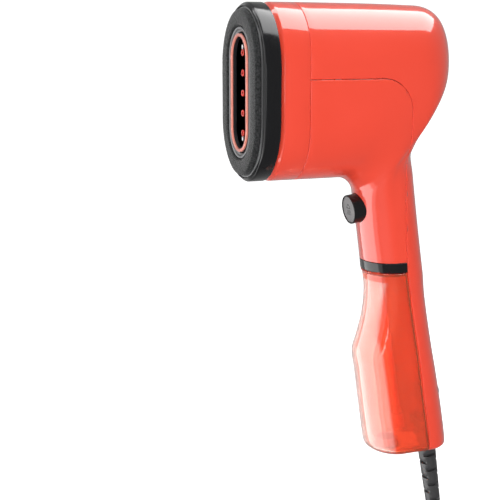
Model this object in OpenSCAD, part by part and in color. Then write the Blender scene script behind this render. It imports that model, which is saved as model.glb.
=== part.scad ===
// Handheld garment steamer: oval steam head, upright handle with a slide-off water tank, mains cord.
// Frame: +Z up, the steam face looks along -Y, the part is symmetric about X = 0.
// The origin is the middle of the handle, where the hand closes round it.

/* [Head] */
// Height of the head
head_h = 105; // [90:1:118]
// Width of the head body
body_w = 60; // [54:1:66]
// Distance from the grip point forward to the front of the bezel
head_front = 99; // [93:1:112]
// Distance from the grip point back to the rear of the head
head_rear = 34.5; // [30:0.5:38]
// Length of the front collar
collar_len = 16.6; // [14:0.2:18]
// Wall of the moulded casings
wall = 2.2; // [1.8:0.1:2.6]
// Gap that shows where two casings meet
seam_gap = 0.3; // [0.2:0.05:0.5]
// Radius of the fillet between the head's underside and the handle
neck_r = 14; // [12:0.5:16]

/* [Bezel and pad] */
// Width of the bezel
bezel_w = 69; // [66:1:76]
// Depth of the bezel
bezel_d = 11.3; // [10:0.1:12.5]
// Rim of the bezel round the pad
bezel_rim = 2.4; // [2:0.1:3]
// Depth of the pocket that the pad clips into
pocket_d = 6; // [5:0.5:7]
// Thickness of the velvet on the pad's carrier
velvet_t = 3.4; // [2.8:0.1:4]
// Half width of the pad's opening
pad_hole_a = 18.4; // [17:0.2:20]
// Half height of the pad's opening
pad_hole_b = 38.2; // [37:0.2:40]

/* [Steam plate] */
// Half width of the coral steam ring
ring_a = 14; // [13:0.1:15]
// Half height of the coral steam ring
ring_b = 34.4; // [33:0.1:36]
// Width of the ring's band
ring_t = 1.7; // [1.4:0.1:2]
// Number of steam holes
hole_count = 5; // [3:1:5]
// Distance between steam holes
hole_pitch = 11.7; // [10:0.1:12]
// Radius of a steam hole
hole_r = 1.2; // [0.9:0.1:1.5]

/* [Handle] */
// Height from the grip point to the underside of the head
grip_above = 42; // [37:1:51]
// Height from the grip point down to the band over the tank
grip_below = 12; // [10:1:15]
// Front to back depth of the handle
handle_d = 39.6; // [37:0.2:43]
// Width of the handle
handle_w = 35; // [33:0.5:39]
// How far the handle leans back for each unit down
lean = 0.15; // [0.12:0.01:0.18]
// Height of the dark band over the tank
band_h = 6.4; // [5:0.2:8]

/* [Trigger] */
// Radius of the steam trigger
trigger_r = 9.2; // [8:0.1:10]
// Travel of the steam trigger
trigger_travel = 2.5; // [2:0.1:3]
// Height of the trigger's face centre above the grip point
trigger_z = 21; // [19:0.5:23]
// How far the trigger stands out of the handle
trigger_out = 5.8; // [5:0.1:7]

/* [Power button] */
// Radius of the power button
power_r = 5.3; // [4.5:0.1:6]
// Travel of the power button
power_travel = 1.2; // [1:0.1:1.5]

/* [Water tank] */
// Length of the tank
tank_len = 122.5; // [110:0.5:150]
// Width of the tank
tank_w = 40.8; // [38:0.2:44]
// Depth of the tank's belly in front of the handle line
belly = 12.8; // [10:0.2:14]
// Wall of the tank
tank_wall = 2; // [1.6:0.1:2.4]
// Radius of the tank's spout
spout_r = 4; // [3.6:0.1:4.6]

/* [Cord] */
// Diameter of the mains cord
cord_d = 6.5; // [6:0.1:7]
// Diameter of the strain relief at the housing
relief_d = 12.3; // [11.6:0.1:13]
// Length of the strain relief
relief_len = 52; // [44:1:58]
// Radius of a mains pin
pin_r = 2.4; // [2.4:0.05:2.45]
// Length of a mains pin
pin_len = 19; // [18.5:0.1:19.5]
// Distance between the two pins
pin_pitch = 19; // [18:0.1:19]

/* [Hidden] */
$fn = 48;
eps = 0.01;

coral = [0.95, 0.33, 0.26];
black = [0.06, 0.06, 0.07];
grey = [0.42, 0.42, 0.43];
alu = [0.75, 0.76, 0.78];
clearance = 0.25;

// Heights and depths that everything else hangs from
head_bot = grip_above;
head_top = grip_above + head_h;
head_zc = grip_above + head_h / 2;
body_a = body_w / 2;
body_b = head_h / 2;
collar_y = bezel_d + 3;
seam_y = collar_y + collar_len;
band_top = -grip_below;
tank_top = band_top - band_h;
tank_bot = tank_top - tank_len;

// A depth measured back from the front of the bezel
function hy(d) = d - head_front;
// The handle's front and back lines
function front_y(z) = -lean * z - handle_d / 2;
function back_y(z) = -lean * z + handle_d / 2;
function lerp(p, q, t) = p + (q - p) * t;

// ---- The moulded form: oval rings that turn from the upright head into the level handle ----
// Each station is [under or front y, z, top or back y, z, half width, reach of the round ends]
function rear(f) = f * head_rear;
function up(f) = head_bot + f * head_h;
neck_c = [front_y(head_bot - neck_r) - neck_r, head_bot - neck_r];
function neck(t) = neck_c + neck_r * [sin(t), cos(t)];
function fan(t, y, z, a, e) = [neck(t).x, neck(t).y, y, z, a, e];
function grip(z, zb, a, e) = [front_y(z), z, back_y(zb), zb, a, e];
function depth(f) = tank_top - f * tank_len;
function hull_at(f, out, flare, a, e) =
    [front_y(depth(f)) - out, depth(f), back_y(depth(f)) + flare, depth(f), a, e];
handle_a = handle_w / 2;
tank_a = tank_w / 2;
stations = [
    [hy(bezel_d - 2), head_bot, hy(bezel_d - 2), head_top, body_a, 33],
    [hy(seam_y), head_bot, hy(seam_y), head_top, body_a, 33],
    [hy(0.45 * head_front), head_bot, hy(0.53 * head_front), up(0.999), body_a, 33.5],
    [lerp(neck(0).x, hy(0.45 * head_front), 0.45), head_bot, rear(-0.64), up(0.997), body_a - 0.3, 34.5],
    fan(0, rear(0.06), up(0.992), body_a - 0.9, 36),
    fan(12, rear(0.5), up(0.982), body_a - 1.6, 37),
    fan(24, rear(0.77), up(0.93), body_a - 2.2, 38),
    fan(36, rear(0.93), up(0.835), body_a - 3, 38),
    fan(48, rear(1), up(0.715), body_a - 3.9, 37),
    fan(60, rear(0.985), up(0.6), body_a - 5, 35),
    fan(70, rear(0.84), up(0.495), body_a - 6.2, 32),
    fan(80, rear(0.64), up(0.4), body_a - 7.6, 29),
    fan(90, rear(0.465), up(0.3), lerp(handle_a, body_a, 0.3), 26),
    grip(0.58 * grip_above, 1.42 * grip_above, lerp(handle_a, body_a, 0.18), 22),
    grip(0.43 * grip_above, 1.08 * grip_above, lerp(handle_a, body_a, 0.08), 19.5),
    grip(0.28 * grip_above, 0.76 * grip_above, lerp(handle_a, body_a, 0.03), 18),
    grip(0.12 * grip_above, 0.42 * grip_above, handle_a, 17),
    grip(-0.02 * grip_above, 0.13 * grip_above, handle_a, 16.5),
    grip(-0.6 * grip_below, -0.4 * grip_below, handle_a + 0.2, 16.5),
    grip(band_top, band_top, handle_a + 0.4, 16.5),
    grip(tank_top, tank_top, handle_a + 0.7, 16.5),
    hull_at(0.03, -0.9, 0, handle_a + 0.8, 16.5),
    hull_at(0.13, -0.4, -0.6, lerp(handle_a, tank_a, 0.4), 16.5),
    hull_at(0.25, 2.9 * belly / 12.8, -0.4, lerp(handle_a, tank_a, 0.6), 16.7),
    hull_at(0.37, 8.6 * belly / 12.8, 0.1, lerp(handle_a, tank_a, 0.86), 17),
    hull_at(0.455, belly, 0.6, tank_a, 17),
    hull_at(0.57, belly, 1.6, tank_a, 17),
    hull_at(0.78, belly, 2.9, tank_a, 17),
    hull_at(0.955, belly - 0.3, 3.3, tank_a, 17),
    hull_at(0.988, belly - 1.5, 2.2, tank_a - 1.3, 16),
    hull_at(1, belly - 4, -0.4, tank_a - 4, 13.5)];
last = len(stations) - 1;

// Smooth curve through the stations
function cr(a, b, c, d, t) = 0.5 * ((2 * b) + (c - a) * t + (2 * a - 5 * b + 4 * c - d) * t * t
    + (3 * b - a - 3 * c + d) * t * t * t);
function station(s) = let (i = min(floor(s), last - 1), t = s - i)
    cr(stations[max(i - 1, 0)], stations[i], stations[i + 1], stations[min(i + 2, last)], t);
// One ring, drawn in from the surface by g, and lifted off the floor by g at the bottom
ring_sides = 36;
function ring(s, g) = let (v = station(s), p = [v[0], v[1]], q = [v[2], v[3]], d = (q - p) / norm(q - p),
    b = norm(q - p) / 2 - g, c = (p + q) / 2, k = min(v[5] - g, b - 0.5), a = v[4] - g,
    lift = g * max(0, (s - last + 3) / 3))
    [for (i = [0:ring_sides - 1]) let (t = 360 * (i + 0.5) / ring_sides,
        u = -k * cos(t) - sign(cos(t)) * (b - k), m = c + d * u) [a * sin(t), m.x, m.y + lift]];
module form(g) {
    steps = [for (s = [0:0.5:last + eps]) s];
    rings = [for (s = steps) ring(s, g)];
    n = ring_sides;
    m = len(rings);
    points = [for (r = rings) each r];
    sides = [for (j = [0:m - 2], i = [0:n - 1]) each
        [[j * n + i, j * n + (i + 1) % n, (j + 1) * n + (i + 1) % n],
         [j * n + i, (j + 1) * n + (i + 1) % n, (j + 1) * n + i]]];
    polyhedron(points, concat([[for (i = [n - 1:-1:0]) i]], sides,
        [[for (i = [0:n - 1]) (m - 1) * n + i]]), convexity = 6);
}
// A free-form moulding is one mesh
module moulded() resize([0, 0, 0]) children();

// ---- Where the casings part, seen from the side; o moves the line outwards ----
split_z = head_zc + 8.3;
split_r = 21;
split_y = 0.03 * head_rear - 1;
function split_line(z) = split_y + 0.049 * (split_z - split_r - z);
bend_z = tank_top - 0.35;
function tank_line(z) = split_line(bend_z) + 0.168 * (bend_z - z);
function split_path(o) = concat([[-200, split_z + o]],
    [for (t = [0:10:90]) [split_line(split_z - split_r) - split_r + (split_r + o) * sin(t),
        split_z - split_r + (split_r + o) * cos(t)]],
    [[split_line(bend_z) + o, bend_z]]);
module side_prism(outline, half = 60)
    translate([-half, 0, 0]) rotate([90, 0, 90]) linear_extrude(2 * half) polygon(outline);
low = -400;
module front_region(o) side_prism(concat(split_path(o), [[-200, bend_z]]));
module tank_region(o, top) side_prism([[-200, top], [tank_line(top) + o, top], [tank_line(low) + o, low],
    [-200, low]]);
module rear_region(o) intersection() {
    side_prism(concat(split_path(o), [[tank_line(low) + o, low], [400, low], [400, 400], [-200, 400]]));
    translate([-100, hy(seam_y) + seam_gap / 2, low - 50]) cube([200, 600, 1000]);
}

// ---- Oval slabs that face the front ----
function oval(a, b, e, n = 72) = [for (i = [0:n - 1]) let (t = 360 * (i + 0.5) / n)
    [a * cos(t), e * sin(t) + sign(sin(t)) * (b - e)]];
module slab(a, b, e, d0, d1) translate([0, hy(d1), head_zc]) rotate([90, 0, 0])
    linear_extrude(d1 - d0) polygon(oval(a, b, e));
// A stadium with half-round ends, in true arcs
module stadium(a, b, d0, d1) {
    for (s = [-1, 1]) translate([0, hy(d1), head_zc + s * (b - a)]) rotate([90, 0, 0]) cylinder(r = a, h = d1 - d0);
    translate([-a, hy(d0), head_zc - (b - a)]) cube([2 * a, d1 - d0, 2 * (b - a)]);
}
// A rod along Y at height z above the head's centre
module rod(r, d0, d1, z = 0, x = 0) translate([x, hy(d1), head_zc + z]) rotate([90, 0, 0])
    cylinder(r = r, h = d1 - d0);

// ---- Frames of the moving pieces ----
handle_tilt = atan(lean);
// Local +Z runs into the handle, from the middle of the trigger's face
module at_trigger() translate([0, front_y(trigger_z) - trigger_out, trigger_z])
    rotate([-(90 - handle_tilt), 0, 0]) children();
tank_tilt = atan(0.168);
spout_y = split_line(tank_top) - 11;
// Local +Z runs up the tank's line of travel, from the middle of the tank's top
module at_spout() translate([0, spout_y, tank_top - clearance]) rotate([tank_tilt, 0, 0]) children();
power_z = depth(0.71);
power_tilt = 10;
function spine_y(z) = back_y(z) + 2.7;
// Local +Z runs into the handle, from the handle's back
module at_power() translate([0, spine_y(power_z), power_z]) rotate([90 + power_tilt, 0, 0]) children();
relief_tilt = 9.3;
relief_y = 33;
// Local +Z runs down the cord, from the handle's base
module at_relief() translate([0, relief_y, tank_bot]) rotate([180 + relief_tilt, 0, 0]) children();

// ---- Casings ----
module front_collar() color(coral) difference() {
    union() {
        slab(body_a - 1.6, body_b - 1.6, 31.4, bezel_d + 0.1, collar_y + 0.5);
        slab(body_a, body_b, 33, collar_y, seam_y - seam_gap / 2);
    }
    slab(body_a - wall - 1.4, body_b - wall - 1.4, 29.8, 0, seam_y + 1);
}
// The spine behind the tank is closed at the front by a wall of its own
module rear_shell() color(coral) moulded() difference() {
    intersection() {
        difference() {
            form(0);
            difference() {
                form(wall);
                tank_region(seam_gap / 2 + wall, tank_top - 0.7);
            }
        }
        rear_region(seam_gap / 2);
    }
    at_power() translate([0, 0, -6]) cylinder(r = power_r + clearance, h = 12);
    at_relief() translate([0, 0, -8]) cylinder(r = relief_d / 2 - 1 + 0.1, h = 16);
    at_relief() translate([0, 0, -14]) cylinder(r = relief_d / 2 + 0.7, h = 10.5);
}
module front_shell() color(coral) moulded() difference() {
    intersection() {
        difference() { form(0); form(wall); }
        front_region(-seam_gap / 2);
        side_prism([[hy(seam_y) + seam_gap / 2, 400], [400, 400], [400, band_top + 0.1],
            [hy(seam_y) + seam_gap / 2, band_top + 0.1]]);
    }
    at_trigger() translate([0, 0, -2]) cylinder(r = trigger_r + clearance, h = 20);
}
// Each pair is [height, distance from the middle]
casing_screw_at = [[1.55 * grip_above, 13.2], [-1, 10.2]];
module casing_screws() color(alu) for (at = casing_screw_at) for (x = [-1, 1])
    translate([x * at[1], split_line(at[0]) - 3, at[0]]) rotate([-90, 0, 0]) {
        cylinder(r = 1.4, h = 9);
        cylinder(r = 2.5, h = 2);
    }

// ---- Bezel and the pad that clips into it ----
bezel_a = bezel_w / 2;
pad_a = bezel_a - bezel_rim - clearance;
pad_b = body_b - 0.2 - bezel_rim - clearance;
module bezel() color(black) difference() {
    union() {
        slab(bezel_a - 1.5, body_b - 1.7, 36.5, 0, 2);
        slab(bezel_a, body_b - 0.2, 38, 1.6, bezel_d);
        slab(body_a - wall - 1.6, body_b - wall - 1.6, 29.6, bezel_d - eps, seam_y - 4);
    }
    slab(pad_a + clearance, pad_b + clearance, 35.6, -1, pocket_d);
    stadium(ring_a + 0.9, ring_b + 0.9, -1, seam_y);
    slab(body_a - wall - 3.4, body_b - wall - 3.4, 27.8, bezel_d - 2, seam_y + 1);
}
module pad_carrier() color(grey) difference() {
    union() {
        slab(pad_a, pad_b, 35.2, 0.6, pocket_d - 0.6);
        slab(pad_hole_a - 0.3, pad_hole_b - 0.3, pad_hole_a - 0.3, -2.2, 1);
    }
    stadium(ring_a + 0.9, ring_b + 0.9, -5, pocket_d + 1);
    slab(ring_a + 2.4, ring_b + 2.4, ring_a + 2.4, -5, -1.2);
    for (z = [-1, 1]) rod(3.3, pocket_d - 3.2, pocket_d + 1, z * 42);
}
module velvet_pad() color([0.2, 0.21, 0.22]) difference() {
    slab(pad_a - 0.9, pad_b - 0.6, 34.6, 0.6 - velvet_t, 0.6);
    slab(pad_hole_a, pad_hole_b, pad_hole_a, -10, 5);
}
module pad_clips() color(alu) for (z = [-1, 1]) rod(3.2, pocket_d - 3.1, pocket_d - 0.5, z * 42);

// ---- Steam face ----
plate_a = ring_a - ring_t - 0.1;
plate_b = ring_b - ring_t - 0.1;
function hole_z(i) = (i - (hole_count - 1) / 2) * hole_pitch;
screw_z = hole_z(hole_count - 1) + 3.3;
module plate_frame() color(black) difference() {
    stadium(ring_a + 0.1, ring_b + 0.1, -1.4, bezel_d - 2);
    stadium(plate_a + 0.1, plate_b + 0.1, -3, bezel_d);
}
module steam_ring() color([0.98, 0.5, 0.45]) difference() {
    stadium(ring_a, ring_b, -2.7, -1.4);
    stadium(ring_a - ring_t, ring_b - ring_t, -4, 1);
}
module steam_plate() color([0.5, 0.5, 0.5]) difference() {
    stadium(plate_a, plate_b, -1, 1.6);
    stadium(5.4, screw_z + 2.4, -2, 0.5);
    translate([-0.4, hy(0), head_zc + hole_z(0)]) cube([0.8, 0.9, hole_z(hole_count - 1) - hole_z(0)]);
    for (i = [0:hole_count - 1]) rod(hole_r + 0.8, -2, 3, hole_z(i));
    for (s = [-1, 1]) rod(0.9, -2, 3, s * screw_z);
}
module hole_inserts() color([0.9, 0.2, 0.15]) for (i = [0:hole_count - 1]) difference() {
    rod(hole_r + 0.78, 0, 2.6, hole_z(i));
    rod(hole_r, -1, 4, hole_z(i));
}
module plate_screws() color(alu) for (s = [-1, 1]) {
    rod(1.3, 0.1, 0.5, s * screw_z);
    rod(0.85, 0.1, 4.6, s * screw_z);
}
module plate_gasket() color([0.85, 0.85, 0.85]) difference() {
    stadium(plate_a, plate_b, 1.65, 2.9);
    stadium(plate_a - 2.2, plate_b - 2.2, 1, 4);
}
module steam_manifold() color(alu) difference() {
    union() {
        stadium(plate_a, plate_b, 2.95, 13);
        rod(4, 13 - eps, 20);
        for (s = [-1, 1]) rod(2, 2.95, 8, s * screw_z);
    }
    difference() {
        stadium(plate_a - 2, plate_b - 2, 2, 11);
        for (s = [-1, 1]) rod(2, 1, 12, s * screw_z);
    }
    rod(2.2, 9, 21);
    for (s = [-1, 1]) rod(0.88, 2, 6, s * screw_z);
}
module steam_hose() color([0.8, 0.8, 0.78]) difference() {
    rod(6, 14.5, 25.6);
    rod(4.02, 14, 26);
}

// ---- Boiler ----
boiler_a = 19.2;
boiler_b = 36;
boiler_d0 = 25.8;
boiler_d1 = 50;
heater_r = 3;
module boiler_screw_places() for (x = [-1, 1]) for (z = [-1, 1]) translate([x * 13.5, 0, z * 24]) children();
module boiler_body() color(alu) difference() {
    union() {
        stadium(boiler_a, boiler_b, boiler_d0, boiler_d1);
        rod(4, 20.5, boiler_d0 + 1);
    }
    stadium(9.5, 28, boiler_d0 + 5, boiler_d1 + 1);
    rod(2.2, 20, boiler_d0 + 6);
    boiler_screw_places() rod(1.5, boiler_d1 - 8, boiler_d1 + 1);
}
module boiler_gasket() color([0.75, 0.3, 0.2]) difference() {
    stadium(boiler_a, boiler_b, boiler_d1, boiler_d1 + 1);
    stadium(9.5, 28, boiler_d1 - 1, boiler_d1 + 2);
    boiler_screw_places() rod(1.7, boiler_d1 - 1, boiler_d1 + 2);
}
module boiler_lid() color(alu) difference() {
    union() {
        stadium(boiler_a, boiler_b, boiler_d1 + 1, boiler_d1 + 5);
        rod(2.5, boiler_d1 + 4, boiler_d1 + 10, 19);
    }
    rod(1.2, boiler_d1, boiler_d1 + 11, 19);
    boiler_screw_places() rod(1.7, boiler_d1, boiler_d1 + 6);
}
module boiler_screws() color([0.6, 0.6, 0.62]) boiler_screw_places() {
    rod(1.45, boiler_d1 - 7, boiler_d1 + 5);
    rod(2.7, boiler_d1 + 5, boiler_d1 + 7);
}
module heating_element() color([0.4, 0.4, 0.38]) {
    leg_x = boiler_a + heater_r + 0.1;
    bend_z = head_zc + boiler_b - boiler_a;
    mid_y = hy((boiler_d0 + boiler_d1) / 2);
    translate([0, mid_y, bend_z]) rotate([90, 0, 0]) rotate_extrude(angle = 180) translate([leg_x, 0]) circle(r = heater_r);
    for (s = [-1, 1]) {
        translate([s * leg_x, mid_y, head_zc - 26]) cylinder(r = heater_r, h = bend_z - head_zc + 26 + eps);
        translate([s * leg_x, mid_y, head_zc - 34]) cylinder(r = 1.3, h = 8.1);
    }
}
module boiler_bracket() color([0.7, 0.7, 0.68]) difference() {
    union() {
        translate([-16, hy(boiler_d1 + 5), head_zc - 36]) cube([32, 1, 7]);
        for (s = [-1, 1]) translate([s * 15.5 - 0.5, hy(boiler_d1 - 6), head_zc - 44]) cube([1, 12, 7]);
        for (s = [-1, 1]) translate([s * 15.5 - 0.5, hy(boiler_d1 + 5), head_zc - 44]) cube([1, 1, 15]);
    }
    for (x = [-1, 1]) rod(1.7, boiler_d1, boiler_d1 + 9, -32.5, x * 6);
}
module thermostat() color([0.9, 0.88, 0.8]) {
    rod(8, boiler_d1 + 5, boiler_d1 + 6.2, -3);
    rod(6.6, boiler_d1 + 6.2, boiler_d1 + 12, -3);
    for (s = [-1, 1]) translate([s * 3 - 0.4, hy(boiler_d1 + 12), head_zc - 6]) cube([0.8, 7, 6]);
}
module thermal_fuse() color([0.85, 0.75, 0.45]) translate([-9, hy(boiler_d1 + 7.1), head_zc - 18])
    rotate([0, 90, 0]) {
        cylinder(r = 2, h = 18);
        translate([0, 0, -5]) cylinder(r = 0.5, h = 28);
    }

// ---- Pump and water path ----
pump_z = 19;
pump_d0 = boiler_d1 + 25;
pump_d1 = pump_d0 + 32;
pump_bore = 4.06;
module pump_barrel() color([0.9, 0.9, 0.88]) difference() {
    union() {
        rod(6, pump_d0, pump_d1, pump_z);
        rod(2.5, pump_d0 - 7, pump_d0 + 1, pump_z);
        rod(2.5, pump_d1 - 1, pump_d1 + 7, pump_z);
    }
    rod(pump_bore, pump_d0 + 4, pump_d1 - 4, pump_z);
    rod(1.2, pump_d0 - 8, pump_d1 + 8, pump_z);
}
module pump_piston() color([0.5, 0.5, 0.52]) difference() {
    rod(4, pump_d0 + 9, pump_d0 + 22, pump_z);
    rod(1, pump_d0 + 8, pump_d0 + 23, pump_z);
}
module pump_coil() color([0.75, 0.42, 0.2]) difference() {
    union() {
        rod(12, pump_d0 + 6, pump_d1 - 6, pump_z);
        for (d = [pump_d0 + 4, pump_d1 - 6]) translate([-13, hy(d), head_zc + pump_z - 13]) cube([26, 2, 26]);
    }
    rod(6.05, pump_d0, pump_d1, pump_z);
}
module pump_cradle() color([0.25, 0.25, 0.26]) difference() {
    translate([-15.5, hy(pump_d0 + 4), head_zc + pump_z - 17]) cube([31, 24, 10]);
    translate([-13.1, hy(pump_d0 + 2), head_zc + pump_z - 13.1]) cube([26.2, 28, 20]);
}
module check_valve() color([0.92, 0.92, 0.95]) difference() {
    union() {
        rod(5, boiler_d1 + 11, boiler_d1 + 17.5, pump_z);
        rod(3.6, boiler_d1 + 6, boiler_d1 + 24, pump_z);
    }
    rod(2.52, boiler_d1 + 5, boiler_d1 + 10.5, pump_z);
    rod(2.52, boiler_d1 + 17.5, boiler_d1 + 25, pump_z);
    rod(1.2, boiler_d1, boiler_d1 + 25, pump_z);
}

// ---- Tubes that follow a route ----
function unit(v) = v / norm(v);
function frame_dir(p, i) = unit(p[min(i + 1, len(p) - 1)] - p[max(i - 1, 0)]);
function catmull(p, s) = let (n = len(p) - 1, i = min(floor(s), n - 1), t = s - i)
    cr(p[max(i - 1, 0)], p[i], p[i + 1], p[min(i + 2, n)], t);
module tube(route, r, steps, sides = 8) {
    n = len(route) - 1;
    line = [for (i = [0:steps]) catmull(route, n * i / steps)];
    m = len(line);
    points = [for (j = [0:m - 1]) let (d = frame_dir(line, j), u = unit(cross(d, [1, 0.001, 0])), w = cross(u, d))
        each [for (i = [0:sides - 1]) let (t = 360 * (i + 0.5) / sides) line[j] + r * (cos(t) * u + sin(t) * w)]];
    polyhedron(points, concat([[for (i = [0:sides - 1]) i]],
        [for (j = [0:m - 2], i = [0:sides - 1]) each
            [[j * sides + i, (j + 1) * sides + (i + 1) % sides, j * sides + (i + 1) % sides],
             [j * sides + i, (j + 1) * sides + i, (j + 1) * sides + (i + 1) % sides]]],
        [[for (i = [sides - 1:-1:0]) (m - 1) * sides + i]]), convexity = 10);
}
// From the dock's nipple up the side of the handle to the back of the pump
pipe_end = [0, hy(pump_d1 + 7.5), head_zc + pump_z];
module water_pipe() color([0.85, 0.85, 0.82])
    tube([[-7, spout_y + 2, band_top + 9.4], [-7.8, spout_y + 2.8, 5], [-10.8, -3.5, 12], [-12, -1, 22],
        [-12, -1.5, 36], [-10, -2, 52], [-9, 2, 66], [-8, 12, 80], [-5, 20, 92], [-1, pipe_end.y + 7.5, 103],
        [0, pipe_end.y + 6.5, pipe_end.z - 4], [0, pipe_end.y + 3, pipe_end.z], pipe_end], 2.4, 30);

// ---- Trigger ----
guide_z0 = trigger_out + 7.2;
guide_lip = 2;
flange_t = 1.6;
guide_z1 = guide_z0 + guide_lip + flange_t + trigger_travel + 3.4;
module trigger_button() color(black) at_trigger() difference() {
    union() {
        translate([0, 0, 0.6]) cylinder(r = trigger_r, h = guide_z0 + guide_lip + 1);
        translate([0, 0, guide_z0 + guide_lip + 0.1]) cylinder(r = trigger_r + 0.7, h = flange_t);
        cylinder(r = 1.9, h = guide_z1 - 1.5);
    }
    translate([0, 0, -1]) cylinder(r = trigger_r - 0.9, h = 2.4);
    difference() {
        translate([0, 0, 5]) cylinder(r = trigger_r - 1.6, h = 30);
        cylinder(r = 1.9, h = 40);
    }
}
module trigger_face() color(grey) at_trigger() difference() {
    translate([0, 0, 0.5]) cylinder(r = trigger_r - 0.95, h = 0.85);
    translate([-2.5, -2.2, 0]) cube([5, 0.7, 0.8]);
}
module trigger_guide() color([0.2, 0.2, 0.2]) at_trigger() difference() {
    translate([0, 0, guide_z0]) cylinder(r = trigger_r + 2, h = guide_z1 - guide_z0 + 1);
    translate([0, 0, guide_z0 - 1]) cylinder(r = trigger_r + 0.08, h = guide_lip + 2);
    translate([0, 0, guide_z0 + guide_lip]) cylinder(r = trigger_r + 1, h = guide_z1 - guide_z0 - guide_lip);
    cylinder(r = 2.4, h = 60);
}
coils = 5;
module trigger_spring() color(alu) at_trigger() for (i = [0:coils - 1])
    translate([0, 0, guide_z0 + guide_lip + flange_t + 0.8 + i * 1.1])
        rotate_extrude() translate([4.2, 0]) circle(r = 0.3, $fn = 16);
plunger_z = guide_z1 - 1.4;
module switch_plunger() color([0.8, 0.2, 0.15]) at_trigger() translate([0, 0, plunger_z]) cylinder(r = 1, h = 7);
module microswitch() color([0.12, 0.12, 0.13]) at_trigger() difference() {
    translate([-6.5, -10, guide_z1 + 1.3]) cube([13, 20, 8.2]);
    translate([0, 0, guide_z1]) cylinder(r = 1.06, h = 8.6);
    for (s = [-1, 1]) translate([-10, s * 7, guide_z1 + 5.5]) rotate([0, 90, 0]) cylinder(r = 1.2, h = 20);
}
board_y = 4.8;
module circuit_board() color([0.1, 0.4, 0.2]) translate([-8, board_y, 2]) cube([18, 1.6, 34]);
module board_parts() color([0.2, 0.2, 0.22]) {
    translate([-6, board_y + 1.6, 6]) cube([8, 6, 6]);
    translate([6, board_y + 1.6, 10]) rotate([-90, 0, 0]) cylinder(r = 3, h = 7);
    translate([-4, board_y + 1.6, 18]) cube([10, 3, 14]);
}

// ---- Dock and water tank ----
module tank_band() color(black) moulded() intersection() {
    difference() { form(0); form(wall); }
    side_prism([[-200, band_top - 0.1], [split_line(band_top) - seam_gap / 2, band_top - 0.1],
        [split_line(tank_top) - seam_gap / 2, tank_top + 0.15], [-200, tank_top + 0.15]]);
}
spout_h = 8;
module tank_dock() color([0.2, 0.2, 0.21]) difference() {
    union() {
        translate([0, spout_y, tank_top + 1]) cylinder(r = 8.4, h = band_h + 5);
        translate([-7, spout_y + 2, band_top + 4]) cylinder(r = 2, h = 5);
    }
    at_spout() translate([0, 0, -4]) cylinder(r = spout_r + 0.6, h = spout_h + 5);
    translate([-7, spout_y + 2, band_top + 2]) cylinder(r = 1.2, h = 9);
}
module dock_seal() color([0.1, 0.1, 0.1]) at_spout() translate([0, 0, spout_h - 2.5])
    rotate_extrude() translate([spout_r - 0.2, 0]) circle(r = 0.75, $fn = 24);
module water_tank() color([0.98, 0.55, 0.48, 0.5]) moulded() difference() {
    union() {
        difference() {
            intersection() { form(0); tank_region(-seam_gap, tank_top - clearance); }
            difference() {
                intersection() {
                    form(tank_wall);
                    tank_region(-seam_gap - tank_wall, tank_top - clearance - tank_wall);
                }
                at_filler() translate([0, 0, -4]) cylinder(r = filler_r + 3.6, h = 8, $fn = 32);
            }
        }
        at_spout() translate([0, 0, -1]) difference() {
            cylinder(r = spout_r, h = spout_h + 1, $fn = 32);
            translate([0, 0, spout_h - 2.4]) difference() {
                cylinder(r = spout_r + 1, h = 1.8, $fn = 32);
                cylinder(r = spout_r - 1.05, h = 1.8, $fn = 32);
            }
        }
    }
    at_spout() translate([0, 0, -8]) cylinder(r = spout_r - 1.9, h = spout_h + 20, $fn = 32);
    at_filler() translate([0, 0, -10]) cylinder(r = filler_r + 0.1, h = 20, $fn = 32);
    at_filler() translate([0, 0, -plug_sink]) cylinder(r = filler_r + 1.8, h = 5, $fn = 32);
}
filler_r = 7;
filler_y = tank_line(tank_bot) - 22;
plug_sink = 1.3;
// Local +Z runs straight down, from the middle of the tank's floor
module at_filler() translate([0, filler_y, tank_bot]) rotate([180, 0, 0]) children();
module tank_plug() color([0.16, 0.16, 0.17]) at_filler() {
    translate([0, 0, -7]) cylinder(r = filler_r - 0.15, h = 7 - plug_sink / 2);
    translate([0, 0, 0.05 - plug_sink]) cylinder(r = filler_r + 1.5, h = plug_sink);
}
module pickup_tube() color([0.92, 0.92, 0.92]) at_spout() difference() {
    translate([0, 0, -tank_len * 0.86]) cylinder(r = 2, h = tank_len * 0.86 + 2);
    translate([0, 0, -tank_len]) cylinder(r = 1.2, h = tank_len + 10);
}
module tank_filter() color([0.3, 0.3, 0.32]) at_spout() translate([0, 0, -tank_len * 0.86 - 6]) difference() {
    cylinder(r = 3.4, h = 10);
    translate([0, 0, 6]) cylinder(r = 2.02, h = 8);
    for (t = [0:45:315]) rotate([0, 0, t]) translate([2.2, -0.5, 1]) cube([3, 1, 3.5]);
}
module tank_valve() color([0.85, 0.2, 0.15]) at_spout() {
    translate([0, 0, 2.6]) cylinder(r = spout_r - 2.0, h = 3);
    translate([0, 0, 5]) cylinder(r = 0.8, h = 3);
}

// ---- Power button ----
dome_h = 2.4;
module power_button() color(black) at_power() {
    translate([0, 0, 0]) cylinder(r = power_r, h = 4.5);
    intersection() {
        translate([0, 0, -dome_h]) cylinder(r = power_r, h = dome_h + 1);
        translate([0, 0, (power_r * power_r - dome_h * dome_h) / (2 * dome_h)])
            sphere(r = (power_r * power_r + dome_h * dome_h) / (2 * dome_h));
    }
    translate([0, 0, 3.5]) cylinder(r = power_r + 1, h = 1);
}
module power_switch() color([0.15, 0.15, 0.16]) at_power() {
    translate([-4, -4, 6.2]) cube([8, 8, 3]);
    translate([-7, -7, 9.2]) cube([14, 14, 1.2]);
}

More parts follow.
